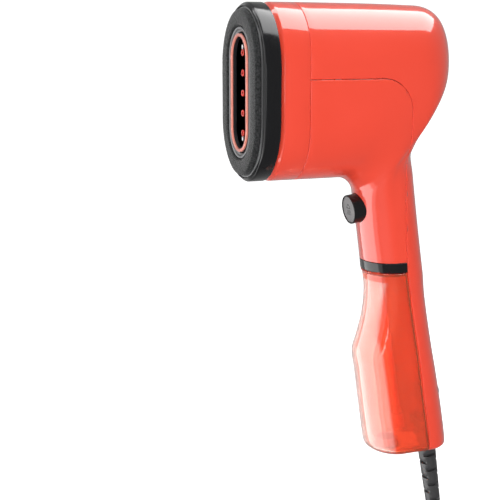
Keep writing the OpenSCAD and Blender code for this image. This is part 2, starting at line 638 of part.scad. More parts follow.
// ---- Cord, strain relief and plug ----
relief_r = relief_d / 2;
relief_gap = 1.1;
slot_pitch = 5.6;
slot_h = 2.4;
module inner_cord() color(black) at_relief() translate([0, 0, -21]) cylinder(r = cord_d / 2, h = 20.9);
module cord_clamp() color([0.2, 0.2, 0.2]) at_relief() difference() {
    translate([-9, -4.6, -18]) cube([18, 9.2, 7]);
    translate([0, 0, -30]) cylinder(r = cord_d / 2 + 0.02, h = 30);
    for (s = [-1, 1]) translate([s * 6.3, -6, -14.5]) rotate([-90, 0, 0]) cylinder(r = 1.2, h = 12);
}
module strain_relief() color(black) at_relief() difference() {
    union() {
        translate([0, 0, relief_gap]) cylinder(r1 = relief_r, r2 = relief_r - 1.3, h = relief_len - relief_gap);
        translate([0, 0, -9]) cylinder(r = relief_r - 1, h = 9.1 + relief_gap);
        translate([0, 0, -9]) cylinder(r = relief_r + 0.6, h = 2);
    }
    translate([0, 0, -10]) cylinder(r = cord_d / 2 + 0.15, h = relief_len + 14);
    for (i = [0:6]) rotate([0, 0, 90 * (i % 2)]) for (s = [-1, 1])
        translate([s * (cord_d / 2 + 3.2) - 3, -relief_r, 8 + i * slot_pitch]) cube([6, 2 * relief_r, slot_h]);
}
// The route leaves the relief in line with the handle, then hangs straight
lead_route = [[0, 33, -141], [0, 35.6, -157], [0, 38.2, -173], [0, 40.9, -189.5], [0, 42, -197],
    [-1.5, 43, -205], [-6, 43.8, -214], [-12, 44, -223], [-15.6, 44, -232], [-16.5, 44, -242]];
hank_x = 16.5;
hank_run = 110;
hank_top = -242;
hank_y = 63.5;
hank_a = 19.5;
tail_route = [[16.5, 44, -354], [16.5, 44, -363], [16.5, 44.4, -374], [16, 46, -386], [15, 48, -396], [14.5, 49, -404]];
plug_at = [14.5, 49, -403.9];
module cord_lead() color(black) tube(lead_route, cord_d / 2, 24);
module cord_hank() color(black) difference() {
    translate([-hank_x - cord_d / 2, hank_y, hank_top - hank_run / 2]) rotate([90, 0, 90])
        linear_extrude(2 * hank_x + cord_d) {
            square([2 * hank_a + cord_d, hank_run], center = true);
            for (s = [-1, 1]) translate([0, s * hank_run / 2]) circle(r = hank_a + cord_d / 2);
        }
    translate([-60, hank_y - hank_a + cord_d / 2, hank_top - hank_run + 14]) cube([120, 2 * hank_a - cord_d, hank_run - 28]);
}
tie_h = 14;
module hank_tie() color([0.15, 0.15, 0.16]) translate([0, hank_y, hank_top - hank_run / 2]) difference() {
    cube([2 * hank_x + cord_d + 3.2, 2 * hank_a + cord_d + 3.2, tie_h], center = true);
    cube([2 * hank_x + cord_d + 0.1, 2 * hank_a + cord_d + 0.1, tie_h + 2], center = true);
}
module cord_tail() color(black) tube(tail_route, cord_d / 2, 14);
pin_root_r = 2;
module mains_plug() color(black) translate(plug_at) difference() {
    union() {
        translate([0, 0, -24]) cylinder(r1 = 6.5, r2 = 4.6, h = 24);
        translate([0, 0, -42]) cylinder(r = 17.5, h = 16);
        translate([0, 0, -26.01]) cylinder(r1 = 17.5, r2 = 8, h = 8);
    }
    translate([0, 0, -3]) cylinder(r = cord_d / 2 + 0.05, h = 5);
    for (s = [-1, 1]) translate([s * pin_pitch / 2, 0, -43]) cylinder(r = pin_root_r + 0.02, h = 11);
}
module plug_pins() color(alu) translate(plug_at) for (s = [-1, 1]) translate([s * pin_pitch / 2, 0, -42]) {
    translate([0, 0, -pin_len]) cylinder(r = pin_r, h = pin_len);
    cylinder(r = pin_root_r, h = 9);
}

front_collar();
rear_shell();
front_shell();
bezel();
pad_carrier();
velvet_pad();
pad_clips();
plate_frame();
steam_ring();
steam_plate();
hole_inserts();
plate_screws();
plate_gasket();
steam_manifold();
steam_hose();
boiler_body();
boiler_lid();
boiler_gasket();
boiler_screws();
heating_element();
boiler_bracket();
thermostat();
thermal_fuse();
pump_coil();
pump_barrel();
pump_piston();
pump_cradle();
check_valve();
water_pipe();
trigger_button();
trigger_face();
trigger_guide();
trigger_spring();
microswitch();
switch_plunger();
circuit_board();
board_parts();
tank_band();
tank_dock();
dock_seal();
water_tank();
pickup_tube();
tank_filter();
tank_valve();
tank_plug();
power_button();
power_switch();
cord_clamp();
casing_screws();
inner_cord();
strain_relief();
cord_lead();
cord_hank();
hank_tie();
cord_tail();
mains_plug();
plug_pins();
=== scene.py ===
"""Looks of a handheld garment steamer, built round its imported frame.

Shapes are drawn in millimetres and brought to metres as each piece is finished. +Z is up and the steam
face looks along -Y. The origin is the middle of the handle.
"""
import math

import bmesh
import bpy
from mathutils import Matrix, Vector


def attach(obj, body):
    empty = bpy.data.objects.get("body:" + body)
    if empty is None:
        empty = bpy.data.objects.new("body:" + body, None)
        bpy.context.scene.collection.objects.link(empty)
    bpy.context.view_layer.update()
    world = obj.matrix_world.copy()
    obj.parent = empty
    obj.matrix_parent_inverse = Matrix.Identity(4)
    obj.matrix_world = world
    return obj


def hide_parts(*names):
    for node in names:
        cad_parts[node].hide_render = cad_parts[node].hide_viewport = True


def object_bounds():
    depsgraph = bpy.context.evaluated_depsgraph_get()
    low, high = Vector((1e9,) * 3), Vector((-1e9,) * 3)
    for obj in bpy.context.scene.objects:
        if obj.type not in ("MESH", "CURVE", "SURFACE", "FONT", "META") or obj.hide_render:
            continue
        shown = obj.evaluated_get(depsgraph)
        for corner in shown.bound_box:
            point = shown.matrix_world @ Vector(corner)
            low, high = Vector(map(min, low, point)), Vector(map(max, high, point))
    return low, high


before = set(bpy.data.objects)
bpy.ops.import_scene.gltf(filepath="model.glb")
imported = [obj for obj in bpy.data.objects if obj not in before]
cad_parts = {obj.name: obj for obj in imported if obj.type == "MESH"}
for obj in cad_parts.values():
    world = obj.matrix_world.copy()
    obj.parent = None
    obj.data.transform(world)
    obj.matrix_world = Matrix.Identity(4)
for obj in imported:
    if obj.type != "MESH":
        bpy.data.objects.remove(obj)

cad_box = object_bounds()


# ---- Camera ----
# A product shot from the front right, a little above the head, with a short telephoto lens.
camera_turn = math.radians(70)
camera_dip = math.radians(11.9)
camera = bpy.data.objects.new("camera", bpy.data.cameras.new("camera"))
bpy.context.scene.collection.objects.link(camera)
bpy.context.scene.camera = camera
camera.data.sensor_width = 36
camera.data.lens = 72
camera.data.clip_start = 0.01
camera.location = (0.560, -0.298, 0.1255)
camera_looks = Vector((-math.sin(camera_turn) * math.cos(camera_dip),
                       math.cos(camera_turn) * math.cos(camera_dip),
                       -math.sin(camera_dip)))
camera.rotation_euler = camera_looks.to_track_quat("-Z", "Y").to_euler()


# ---- Mains cord ----
# Round PVC lead, 6.5 mm, about two metres: straight out of the strain relief, then folded into a hank
# for storage, and on to the plug. The sheath is extruded, so it has a fine drawn grain along it.
cord_across = 0.0065
lead_route = [(0, 0.033, -0.141), (0, 0.0356, -0.157), (0, 0.0382, -0.173), (0, 0.0409, -0.1895),
              (0, 0.042, -0.197), (-0.0015, 0.043, -0.205), (-0.006, 0.0438, -0.214),
              (-0.012, 0.044, -0.223), (-0.0156, 0.044, -0.232), (-0.0165, 0.044, -0.242)]
tail_route = [(0.0165, 0.044, -0.354), (0.0165, 0.044, -0.363), (0.0165, 0.0444, -0.374),
              (0.016, 0.046, -0.386), (0.015, 0.048, -0.396), (0.0145, 0.049, -0.404)]
hank_half_width = 0.0165
hank_middle = 0.0635
hank_fold = 0.0195
hank_top = -0.242
hank_run = 0.110
hank_turns = 5


def hank_point(turns):
    """A point on the hank: down the near side, round the foot, up the far side and over the top."""
    run_share = hank_run / (2 * hank_run + 2 * math.pi * hank_fold)
    fold_share = 0.5 - run_share
    part = turns % 1
    x = hank_half_width * (2 * min(turns / hank_turns, 1) - 1)
    near, far, foot = hank_middle - hank_fold, hank_middle + hank_fold, hank_top - hank_run
    if part < run_share:
        return x, near, hank_top - hank_run * part / run_share
    if part < 0.5:
        turn = math.pi * (part - run_share) / fold_share
        return x, hank_middle - hank_fold * math.cos(turn), foot - hank_fold * math.sin(turn)
    if part < 0.5 + run_share:
        return x, far, foot + hank_run * (part - 0.5) / run_share
    turn = math.pi * (part - 0.5 - run_share) / fold_share
    return x, hank_middle + hank_fold * math.cos(turn), hank_top + hank_fold * math.sin(turn)


points_a_turn = 24
run_points = [hank_point(i / points_a_turn) for i in range(1, points_a_turn * hank_turns + 1)]
last_run = [(hank_half_width, hank_middle - hank_fold, hank_top - hank_run * i / 4) for i in range(1, 4)]
cord_points = lead_route + run_points + last_run + tail_route

cord_curve = bpy.data.curves.new("mains_cord", "CURVE")
cord_curve.dimensions = "3D"
cord_curve.bevel_depth = cord_across / 2
cord_curve.bevel_resolution = 6
cord_curve.resolution_u = 6
cord_curve.use_fill_caps = True
cord_spline = cord_curve.splines.new("BEZIER")
cord_spline.bezier_points.add(len(cord_points) - 1)
for knot, place in zip(cord_spline.bezier_points, cord_points):
    knot.co = place
    knot.handle_left_type = knot.handle_right_type = "AUTO"
mains_cord = bpy.data.objects.new("mains_cord", cord_curve)
bpy.context.scene.collection.objects.link(mains_cord)


def new_material(name, colour, roughness, metallic=0.0, **shader_values):
    """A principled material whose even values sit on the shader's own sockets."""
    material = bpy.data.materials.new(name)
    material.use_nodes = True
    shader = material.node_tree.nodes["Principled BSDF"]
    shader.inputs["Base Color"].default_value = (*colour, 1)
    shader.inputs["Roughness"].default_value = roughness
    shader.inputs["Metallic"].default_value = metallic
    for socket, value in shader_values.items():
        shader.inputs[socket.replace("_", " ")].default_value = value
    return material


def noise(material, scale, detail=3.0, stretch=(1, 1, 1)):
    """Noise over the piece's own coordinates; scale is in cells to the metre."""
    nodes, links = material.node_tree.nodes, material.node_tree.links
    place = nodes.new("ShaderNodeTexCoord")
    mapping = nodes.new("ShaderNodeMapping")
    mapping.inputs["Scale"].default_value = stretch
    texture = nodes.new("ShaderNodeTexNoise")
    texture.inputs["Scale"].default_value = scale
    texture.inputs["Detail"].default_value = detail
    links.new(place.outputs["Object"], mapping.inputs["Vector"])
    links.new(mapping.outputs["Vector"], texture.inputs["Vector"])
    return texture.outputs["Fac"]


def vary_colour(material, pattern, low, high, spread=(0.35, 0.65)):
    """Lets the base colour wander between two tones with the pattern."""
    nodes, links = material.node_tree.nodes, material.node_tree.links
    ramp = nodes.new("ShaderNodeValToRGB")
    ramp.color_ramp.elements[0].position, ramp.color_ramp.elements[1].position = spread
    ramp.color_ramp.elements[0].color = (*low, 1)
    ramp.color_ramp.elements[1].color = (*high, 1)
    links.new(pattern, ramp.inputs["Fac"])
    links.new(ramp.outputs["Color"], nodes["Principled BSDF"].inputs["Base Color"])


def vary_roughness(material, pattern, low, high):
    """Lets the roughness wander between two values with the pattern."""
    nodes, links = material.node_tree.nodes, material.node_tree.links
    spread = nodes.new("ShaderNodeMapRange")
    spread.inputs["From Min"].default_value = 0.3
    spread.inputs["From Max"].default_value = 0.7
    spread.inputs["To Min"].default_value = low
    spread.inputs["To Max"].default_value = high
    links.new(pattern, spread.inputs["Value"])
    links.new(spread.outputs["Result"], nodes["Principled BSDF"].inputs["Roughness"])


def raise_grain(material, pattern, height, strength=1.0):
    """Turns the pattern into relief of that height in metres."""
    nodes, links = material.node_tree.nodes, material.node_tree.links
    bump = nodes.new("ShaderNodeBump")
    bump.inputs["Distance"].default_value = height
    bump.inputs["Strength"].default_value = strength
    links.new(pattern, bump.inputs["Height"])
    links.new(bump.outputs["Normal"], nodes["Principled BSDF"].inputs["Normal"])


def surface(material, patches, low, high, grain, height, strength=1.0):
    """Roughness that wanders in patches, and a fine relief; each pair is the noise's scale and detail."""
    vary_roughness(material, noise(material, *patches), low, high)
    raise_grain(material, noise(material, *grain), height, strength)


cord_sheath = new_material("cord_sheath", (0.016, 0.016, 0.018), 0.42, Specular_IOR_Level=0.5)
vary_roughness(cord_sheath, noise(cord_sheath, 380), 0.34, 0.52)
raise_grain(cord_sheath, noise(cord_sheath, 2600, stretch=(1, 1, 0.15)), 0.00004)
cord_curve.materials.append(cord_sheath)
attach(mains_cord, "housing")
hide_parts("cord_lead", "cord_hank", "cord_tail")


# ---- Cord band ----
# Woven hook-and-loop strap that holds the hank together, wrapped once round it and pressed onto itself.
MM = 0.001


def make_piece(name, bm, material, body, slot, *nodes, sharp=38):
    """Finishes a mesh drawn in millimetres as a piece that rides on a body and stands for its nodes."""
    bmesh.ops.scale(bm, vec=(MM, MM, MM), verts=bm.verts)
    bmesh.ops.recalc_face_normals(bm, faces=bm.faces)
    mesh = bpy.data.meshes.new(name)
    bm.to_mesh(mesh)
    bm.free()
    mesh.shade_smooth()
    mesh.set_sharp_from_angle(angle=math.radians(sharp))
    mesh.materials.append(material)
    piece = bpy.data.objects.new(name, mesh)
    bpy.context.scene.collection.objects.link(piece)
    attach(piece, body)
    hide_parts(*nodes)
    return piece


def loop_of(bm, places):
    """A closed loop of edges through the places."""
    verts = [bm.verts.new(place) for place in places]
    return [bm.edges.new((verts[i - 1], verts[i])) for i in range(len(verts))]


def bridge(bm, loops, closed=False):
    """Skins the loops in order, and back to the first when closed."""
    for here, there in zip(loops, loops[1:] + (loops[:1] if closed else [])):
        bmesh.ops.bridge_loops(bm, edges=here + there)


band_height = 14
band_gap = 0.8
band_thick = 1.1
cord_mm = cord_across / MM
band_half_x = hank_half_width / MM + cord_mm / 2 + band_gap
band_half_y = hank_fold / MM + cord_mm / 2 + band_gap
band_level = (hank_top - hank_run / 2) / MM


def rounded_oblong(half_x, half_y, corner, level, steps=8):
    """Places round an oblong with round corners, about the hank's middle."""
    places = []
    for quarter in range(4):
        middle_x = (half_x - corner) * (1 if quarter in (0, 3) else -1)
        middle_y = (half_y - corner) * (1 if quarter < 2 else -1)
        for step in range(steps + 1):
            turn = math.pi / 2 * (quarter + step / steps)
            places.append((middle_x + corner * math.cos(turn),
                           hank_middle / MM + middle_y + corner * math.sin(turn), level))
    return places


bm = bmesh.new()
band_loops = []
for growth, rise in [(0, -0.5), (0, 0.5), (band_thick, 0.5), (band_thick, -0.5)]:
    band_loops.append(loop_of(bm, rounded_oblong(band_half_x + growth, band_half_y + growth, 4.2 + growth,
                                                 band_level + rise * band_height)))
bridge(bm, band_loops, closed=True)
bmesh.ops.bevel(bm, geom=[e for loop in band_loops for e in loop], offset=0.35, segments=2, profile=0.5,
                affect="EDGES", material=-1)
tab = bmesh.ops.create_cube(bm, size=1)["verts"]
bmesh.ops.scale(bm, vec=(1.2, 17, band_height - 1), verts=tab)
bmesh.ops.translate(bm, vec=(band_half_x + band_thick + 0.3, hank_middle / MM, band_level), verts=tab)
bmesh.ops.bevel(bm, geom=list({e for v in tab for e in v.link_edges}), offset=0.4, segments=2, profile=0.5,
                affect="EDGES", material=-1)
band_cloth = new_material("band_cloth", (0.02, 0.02, 0.022), 0.8, Sheen_Weight=0.3, Sheen_Roughness=0.5)
vary_colour(band_cloth, noise(band_cloth, 1600), (0.012, 0.012, 0.013), (0.04, 0.04, 0.043))
raise_grain(band_cloth, noise(band_cloth, 2200), 0.0002)
cord_band = make_piece("cord_band", bm, band_cloth, "housing", "rubber_black", "hank_tie")


# ---- Mains plug ----
# Round two-pin plug moulded onto the cord in black rubber, with finger ribs and a tapered tail.
# Its pins are turned brass, nickel plated, with a plastic sleeve at the root.
plug_at = Vector((14.5, 49, -403.9))
plug_outline = [(3.3, -1), (4.6, 0), (4.9, -3), (4.5, -4.2), (5.3, -7), (4.9, -8.2), (5.7, -11), (5.3, -12.2),
                (6.1, -15), (6.6, -18.5), (10.4, -20.5), (14.6, -23.2), (17.0, -26.2), (17.5, -29),
                (17.5, -40.6), (16.6, -42), (0, -42)]
turn_steps = 64


def spin_outline(bm, outline, steps=turn_steps):
    """Turns an outline of (radius, height) pairs round the Z axis; a radius of 0 closes the pole."""
    verts = [bm.verts.new((radius, 0, height)) for radius, height in outline]
    edges = [bm.edges.new(pair) for pair in zip(verts, verts[1:])]
    bmesh.ops.spin(bm, geom=verts + edges, cent=(0, 0, 0), axis=(0, 0, 1), angle=2 * math.pi, steps=steps,
                   use_merge=True)
    bmesh.ops.remove_doubles(bm, verts=bm.verts, dist=0.0005)


bm = bmesh.new()
spin_outline(bm, plug_outline)
bmesh.ops.holes_fill(bm, edges=[e for e in bm.edges if e.is_boundary])
bmesh.ops.translate(bm, vec=plug_at, verts=bm.verts)
plug_rubber = new_material("plug_rubber", (0.018, 0.018, 0.02), 0.45)
surface(plug_rubber, (240, 3), 0.38, 0.6, (3000, 3), 0.00005)
plug_body = make_piece("plug_body", bm, plug_rubber, "housing", "rubber_black", "mains_plug")

pin_nickel = new_material("pin_nickel", (0.62, 0.59, 0.5), 0.28, metallic=1.0)
vary_roughness(pin_nickel, noise(pin_nickel, 900, stretch=(1, 1, 8)), 0.2, 0.4)
raise_grain(pin_nickel, noise(pin_nickel, 3000, stretch=(1, 1, 6)), 0.00001)


def dress(material, *names):
    """Gives CAD nodes that keep their shape this material."""
    for name in names:
        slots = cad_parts[name].data.materials
        slots.clear()
        slots.append(material)


dress(pin_nickel, "plug_pins")


# ---- Strain relief ----
# Segmented rubber sleeve, moulded in one with its flange. Slots on alternate sides let it bend with the
# cord, so the cord leaves the foot of the handle in a gentle curve.
relief_rubber = new_material("relief_rubber", (0.045, 0.045, 0.047), 0.38)
surface(relief_rubber, (300, 3), 0.3, 0.5, (2400, 3), 0.00005)


def soften(name, edge, segments=2):
    """A copy of a CAD node, merged, with its sharp edges rounded to that width in millimetres."""
    bm = bmesh.new()
    bm.from_mesh(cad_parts[name].data)
    bmesh.ops.scale(bm, vec=(1 / MM, 1 / MM, 1 / MM), verts=bm.verts)
    bmesh.ops.remove_doubles(bm, verts=bm.verts, dist=0.002)
    bmesh.ops.dissolve_limit(bm, angle_limit=math.radians(1), verts=bm.verts, edges=bm.edges)
    corners = [e for e in bm.edges if len(e.link_faces) == 2 and e.calc_face_angle() > math.radians(50)]
    bmesh.ops.bevel(bm, geom=corners, offset=edge, segments=segments, profile=0.5, affect="EDGES",
                    material=-1, clamp_overlap=True)
    return bm


relief_sleeve = make_piece("relief_sleeve", soften("strain_relief", 0.35), relief_rubber, "housing",
                           "cord_black", "strain_relief")


# ---- Casing form ----
# The casings are one flowing form: an upright oval head that turns down through a tight neck into the
# handle. Each station is [front or lower y, z, rear or upper y, z, half width, reach of the round ends].
head_height = 105
body_half_width = 30
head_front = 99
head_rear = 34.5
head_bottom = 42
head_middle = head_bottom + head_height / 2
bezel_depth = 11.3
seam_depth = 30.9
neck_radius = 14
handle_depth = 39.6
handle_half_width = 17.5
handle_lean = 0.15
band_top = -12
tank_top = -18.4
tank_length = 122.5
tank_half_width = 20.4
belly = 12.8
wall = 2.2
seam_gap = 0.3


def at_depth(depth):
    """The y of a depth measured back from the front of the bezel."""
    return depth - head_front


def front_line(z):
    return -handle_lean * z - handle_depth / 2


def rear_line(z):
    return -handle_lean * z + handle_depth / 2


def between(start, end, share):
    return start + (end - start) * share


def up_head(share):
    return head_bottom + share * head_height


neck_middle = (front_line(head_bottom - neck_radius) - neck_radius, head_bottom - neck_radius)


def fan(turn, y, z, half_width, reach):
    """A station whose lower end sits on the neck's fillet, turned by that many degrees."""
    angle = math.radians(turn)
    return (neck_middle[0] + neck_radius * math.sin(angle), neck_middle[1] + neck_radius * math.cos(angle),
            y, z, half_width, reach)


def grip(z, rear_z, half_width, reach):
    return front_line(z), z, rear_line(rear_z), rear_z, half_width, reach


def foot(share, out, flare, half_width, reach):
    """A level station of the tank and spine, that share of the way down the tank."""
    z = tank_top - share * tank_length
    return front_line(z) - out, z, rear_line(z) + flare, z, half_width, reach


stations = [
    (at_depth(bezel_depth - 2), head_bottom, at_depth(bezel_depth - 2), up_head(1), body_half_width, 33),
    (at_depth(seam_depth), head_bottom, at_depth(seam_depth), up_head(1), body_half_width, 33),
    (at_depth(0.45 * head_front), head_bottom,
     at_depth(0.53 * head_front), up_head(0.999), body_half_width, 33.5),
    (between(neck_middle[0], at_depth(0.45 * head_front), 0.45), head_bottom,
     -0.64 * head_rear, up_head(0.997), body_half_width - 0.3, 34.5),
    fan(0, 0.06 * head_rear, up_head(0.992), body_half_width - 0.9, 36),
    fan(12, 0.5 * head_rear, up_head(0.982), body_half_width - 1.6, 37),
    fan(24, 0.77 * head_rear, up_head(0.93), body_half_width - 2.2, 38),
    fan(36, 0.93 * head_rear, up_head(0.835), body_half_width - 3, 38),
    fan(48, head_rear, up_head(0.715), body_half_width - 3.9, 37),
    fan(60, 0.985 * head_rear, up_head(0.6), body_half_width - 5, 35),
    fan(70, 0.84 * head_rear, up_head(0.495), body_half_width - 6.2, 32),
    fan(80, 0.64 * head_rear, up_head(0.4), body_half_width - 7.6, 29),
    fan(90, 0.465 * head_rear, up_head(0.3), between(handle_half_width, body_half_width, 0.3), 26),
    grip(0.58 * head_bottom, 1.42 * head_bottom, between(handle_half_width, body_half_width, 0.18), 22),
    grip(0.43 * head_bottom, 1.08 * head_bottom, between(handle_half_width, body_half_width, 0.08), 19.5),
    grip(0.28 * head_bottom, 0.76 * head_bottom, between(handle_half_width, body_half_width, 0.03), 18),
    grip(0.12 * head_bottom, 0.42 * head_bottom, handle_half_width, 17),
    grip(-0.02 * head_bottom, 0.13 * head_bottom, handle_half_width, 16.5),
    grip(0.6 * band_top, 0.4 * band_top, handle_half_width + 0.2, 16.5),
    grip(band_top, band_top, handle_half_width + 0.4, 16.5),
    grip(tank_top, tank_top, handle_half_width + 0.7, 16.5),
    foot(0.03, -0.9, 0, handle_half_width + 0.8, 16.5),
    foot(0.13, -0.4, -0.6, between(handle_half_width, tank_half_width, 0.4), 16.5),
    foot(0.25, 0.2266 * belly, -0.4, between(handle_half_width, tank_half_width, 0.6), 16.7),
    foot(0.37, 0.6719 * belly, 0.1, between(handle_half_width, tank_half_width, 0.86), 17),
    foot(0.455, belly, 0.6, tank_half_width, 17),
    foot(0.57, belly, 1.6, tank_half_width, 17),
    foot(0.78, belly, 2.9, tank_half_width, 17),
    foot(0.955, belly - 0.3, 3.3, tank_half_width, 17),
    foot(0.988, belly - 1.5, 2.2, tank_half_width - 1.3, 16),
    foot(1, belly - 4, -0.4, tank_half_width - 4, 13.5)]
last_station = len(stations) - 1
first_shell_station, first_tank_station = 1, 19
arc_points = 44
straight_points = 16


def smooth_through(a, b, c, d, t):
    """Catmull-Rom curve from b to c."""
    return 0.5 * (2 * b + (c - a) * t + (2 * a - 5 * b + 4 * c - d) * t * t
                  + (3 * b - a - 3 * c + d) * t ** 3)


def form_ring(position):
    """Places round the form at a position along its stations."""
    i = min(int(position), last_station - 1)
    rows = [stations[j] for j in (max(i - 1, 0), i, i + 1, min(i + 2, last_station))]
    y0, z0, y1, z1, half_width, reach = (smooth_through(*column, position - i) for column in zip(*rows))
    low, high = Vector((0, y0, z0)), Vector((0, y1, z1))
    half_height = (high - low).length / 2
    along = (high - low).normalized()
    middle = (low + high) / 2
    reach = min(reach, half_height - 0.5)
    straight = half_height - reach
    places = []
    for side in (1, -1):
        for step in range(arc_points):
            turn = math.pi * step / arc_points
            rise = side * (straight + reach * math.sin(turn))
            places.append(middle + along * rise + Vector((side * half_width * math.cos(turn), 0, 0)))
        for step in range(straight_points):
            rise = side * straight * (1 - 2 * step / straight_points)
            places.append(middle + along * rise + Vector((-side * half_width, 0, 0)))
    return places


def form_skin(start, end, step=0.2):
    """The form's outer skin between two positions along the stations."""
    bm = bmesh.new()
    count = round((end - start) / step)
    loops = [loop_of(bm, form_ring(start + (end - start) * i / count)) for i in range(count + 1)]
    bridge(bm, loops)
    return bm


def cut_with(bm, point, normal, faces=None, keep=None):
    """Cuts the faces with a plane, given in mm; keep is None, "inner" (behind the normal) or "outer"."""
    faces = bm.faces[:] if faces is None else faces
    near = {e for f in faces for e in f.edges} | {v for f in faces for v in f.verts}
    made = bmesh.ops.bisect_plane(bm, geom=faces + list(near), dist=0.12, plane_co=point, plane_no=normal,
                                  use_snap_center=True, clear_outer=keep == "inner",
                                  clear_inner=keep == "outer")
    return [e for e in made["geom_cut"] if isinstance(e, bmesh.types.BMEdge)]


def side_cut(bm, start, end, keep=None, faces=None):
    """Cuts along a line drawn in the side view from start to end, both (y, z); outer is on its left."""
    along = Vector((0, end[0] - start[0], end[1] - start[1]))
    return cut_with(bm, Vector((0, *start)), Vector((1, 0, 0)).cross(along).normalized(), faces, keep)


# The two casings part along a line that runs back from the seam, bends down over a round corner and
# follows the handle to the band, and along the tank below it.
split_height = head_middle + 8.3
split_radius = 21
split_back = 0.03 * head_rear - 1
bend_height = tank_top - 0.35
tank_slope = 0.168


def split_line(z):
    return split_back + 0.049 * (split_height - split_radius - z)


def tank_line(z):
    return split_line(bend_height) + tank_slope * (bend_height - z)


def split_route(offset, steps=14):
    """The parting line in the side view, moved outwards by the offset, down to the tank."""
    middle = (split_line(split_height - split_radius) - split_radius, split_height - split_radius)
    corner = [(middle[0] + (split_radius + offset) * math.sin(math.pi / 2 * i / steps),
               middle[1] + (split_radius + offset) * math.cos(math.pi / 2 * i / steps))
              for i in range(steps + 1)]
    return [(-200, split_height + offset), *corner, (split_line(bend_height) + offset, bend_height)]


def add_modifier(piece, kind, **settings):
    modifier = piece.modifiers.new(kind.lower(), kind)
    for name, value in settings.items():
        setattr(modifier, name, value)
    return modifier


def apply_modifiers(piece):
    """Bakes the modifiers into the mesh, so the finished wall is what rides on the body."""
    bpy.context.view_layer.update()
    evaluated = piece.evaluated_get(bpy.context.evaluated_depsgraph_get())
    baked = bpy.data.meshes.new_from_object(evaluated)
    piece.modifiers.clear()
    piece.data = baked


def drill(piece, radius, frame_matrix, start, depth, top_radius=None):
    """Bores a round hole along the frame's Z; all in mm."""
    bm = bmesh.new()
    bmesh.ops.create_cone(bm, cap_ends=True, segments=96, radius1=radius, radius2=top_radius or radius,
                          depth=depth, matrix=frame_matrix @ Matrix.Translation((0, 0, start + depth / 2)))
    bmesh.ops.scale(bm, vec=(MM, MM, MM), verts=bm.verts)
    mesh = bpy.data.meshes.new("drill")
    bm.to_mesh(mesh)
    bm.free()
    bit = bpy.data.objects.new("drill", mesh)
    bpy.context.scene.collection.objects.link(bit)
    add_modifier(piece, "BOOLEAN", operation="DIFFERENCE", object=bit, solver="EXACT")
    apply_modifiers(piece)
    bpy.data.objects.remove(bit)


def wall_and_edges(piece, thickness=wall, edge=0.35, angle=50):
    """Gives a skin its wall and rounds the edges that show at the seams."""
    add_modifier(piece, "SOLIDIFY", thickness=thickness * MM, offset=-1, use_even_offset=False)
    add_modifier(piece, "BEVEL", width=edge * MM, segments=2, limit_method="ANGLE",
                 angle_limit=math.radians(angle), use_clamp_overlap=False)
    apply_modifiers(piece)
    piece.data.shade_smooth()
    piece.data.set_sharp_from_angle(angle=math.radians(60))


# ---- Front casing ----
# Injection-moulded ABS in gloss coral: the lower half of the head, the neck and the front of the handle,
# screwed to the rear casing from inside. Two softboxes run along it, so its surface has to flow.
coral = (0.90, 0.075, 0.041)
coral_gloss = new_material("coral_gloss", coral, 0.3, Specular_IOR_Level=0.15, Coat_Weight=1.0,
                           Coat_Roughness=0.015, Coat_IOR=1.55)
vary_colour(coral_gloss, noise(coral_gloss, 26, 2), (0.89, 0.073, 0.039), (0.91, 0.077, 0.043))
surface(coral_gloss, (140, 4), 0.28, 0.34, (900, 2), 0.000002, 0.5)

# Frame of the trigger: +Z runs into the handle from the middle of the trigger's face
trigger_height = 21
trigger_out = 5.8
trigger_radius = 9.2
trigger_frame = (Matrix.Translation((0, front_line(trigger_height) - trigger_out, trigger_height))
                 @ Matrix.Rotation(-(math.pi / 2 - math.atan(handle_lean)), 4, "X"))

bm = form_skin(first_shell_station, first_tank_station + 0.4)
route = split_route(-seam_gap / 2)
for start, end in zip(route, route[1:]):
    side_cut(bm, start, end, keep="inner")
cut_with(bm, Vector((0, 0, band_top + 0.1)), Vector((0, 0, -1)), keep="inner")
cut_with(bm, Vector((0, at_depth(seam_depth) + seam_gap / 2, 0)), Vector((0, -1, 0)), keep="inner")
front_casing = make_piece("front_casing", bm, coral_gloss, "housing", "coral_gloss", "front_shell", sharp=60)
wall_and_edges(front_casing)
drill(front_casing, trigger_radius + 0.25, trigger_frame, -2, 22)


# ---- Rear casing ----
# The upper half of the head, the back of the handle and the closed spine behind the tank, in one
# moulding. The power button and the cord's sleeve come out of the spine.
power_height = tank_top - 0.71 * tank_length
power_frame = (Matrix.Translation((0, rear_line(power_height) + 2.7, power_height))
               @ Matrix.Rotation(math.radians(100), 4, "X"))
power_radius = 5.3
relief_radius = 6.15
relief_lip = 0.9
tank_bottom = tank_top - tank_length
relief_frame = (Matrix.Translation((0, 33, tank_bottom)) @ Matrix.Rotation(math.radians(189.3), 4, "X"))

bm = form_skin(first_shell_station, last_station)
bmesh.ops.holes_fill(bm, edges=[e for e in bm.edges if e.is_boundary and e.verts[0].co.z < tank_bottom + 1])
route = split_route(seam_gap / 2)
low_end = (tank_line(tank_bottom - 20) + seam_gap / 2, tank_bottom - 20)
line_reach = 5


def near_line(face, start, end):
    """Whether a face lies within reach of a stretch of the parting line, seen from the side."""
    centre = face.calc_center_bounds()
    here = Vector((centre.y, centre.z))
    along = Vector(end) - Vector(start)
    share = min(max((here - Vector(start)).dot(along) / along.length_squared, 0), 1)
    return (here - Vector(start) - along * share).length < line_reach


for start, end in zip(route, route[1:] + [low_end]):
    side_cut(bm, start, end, faces=[f for f in bm.faces if near_line(f, start, end)])


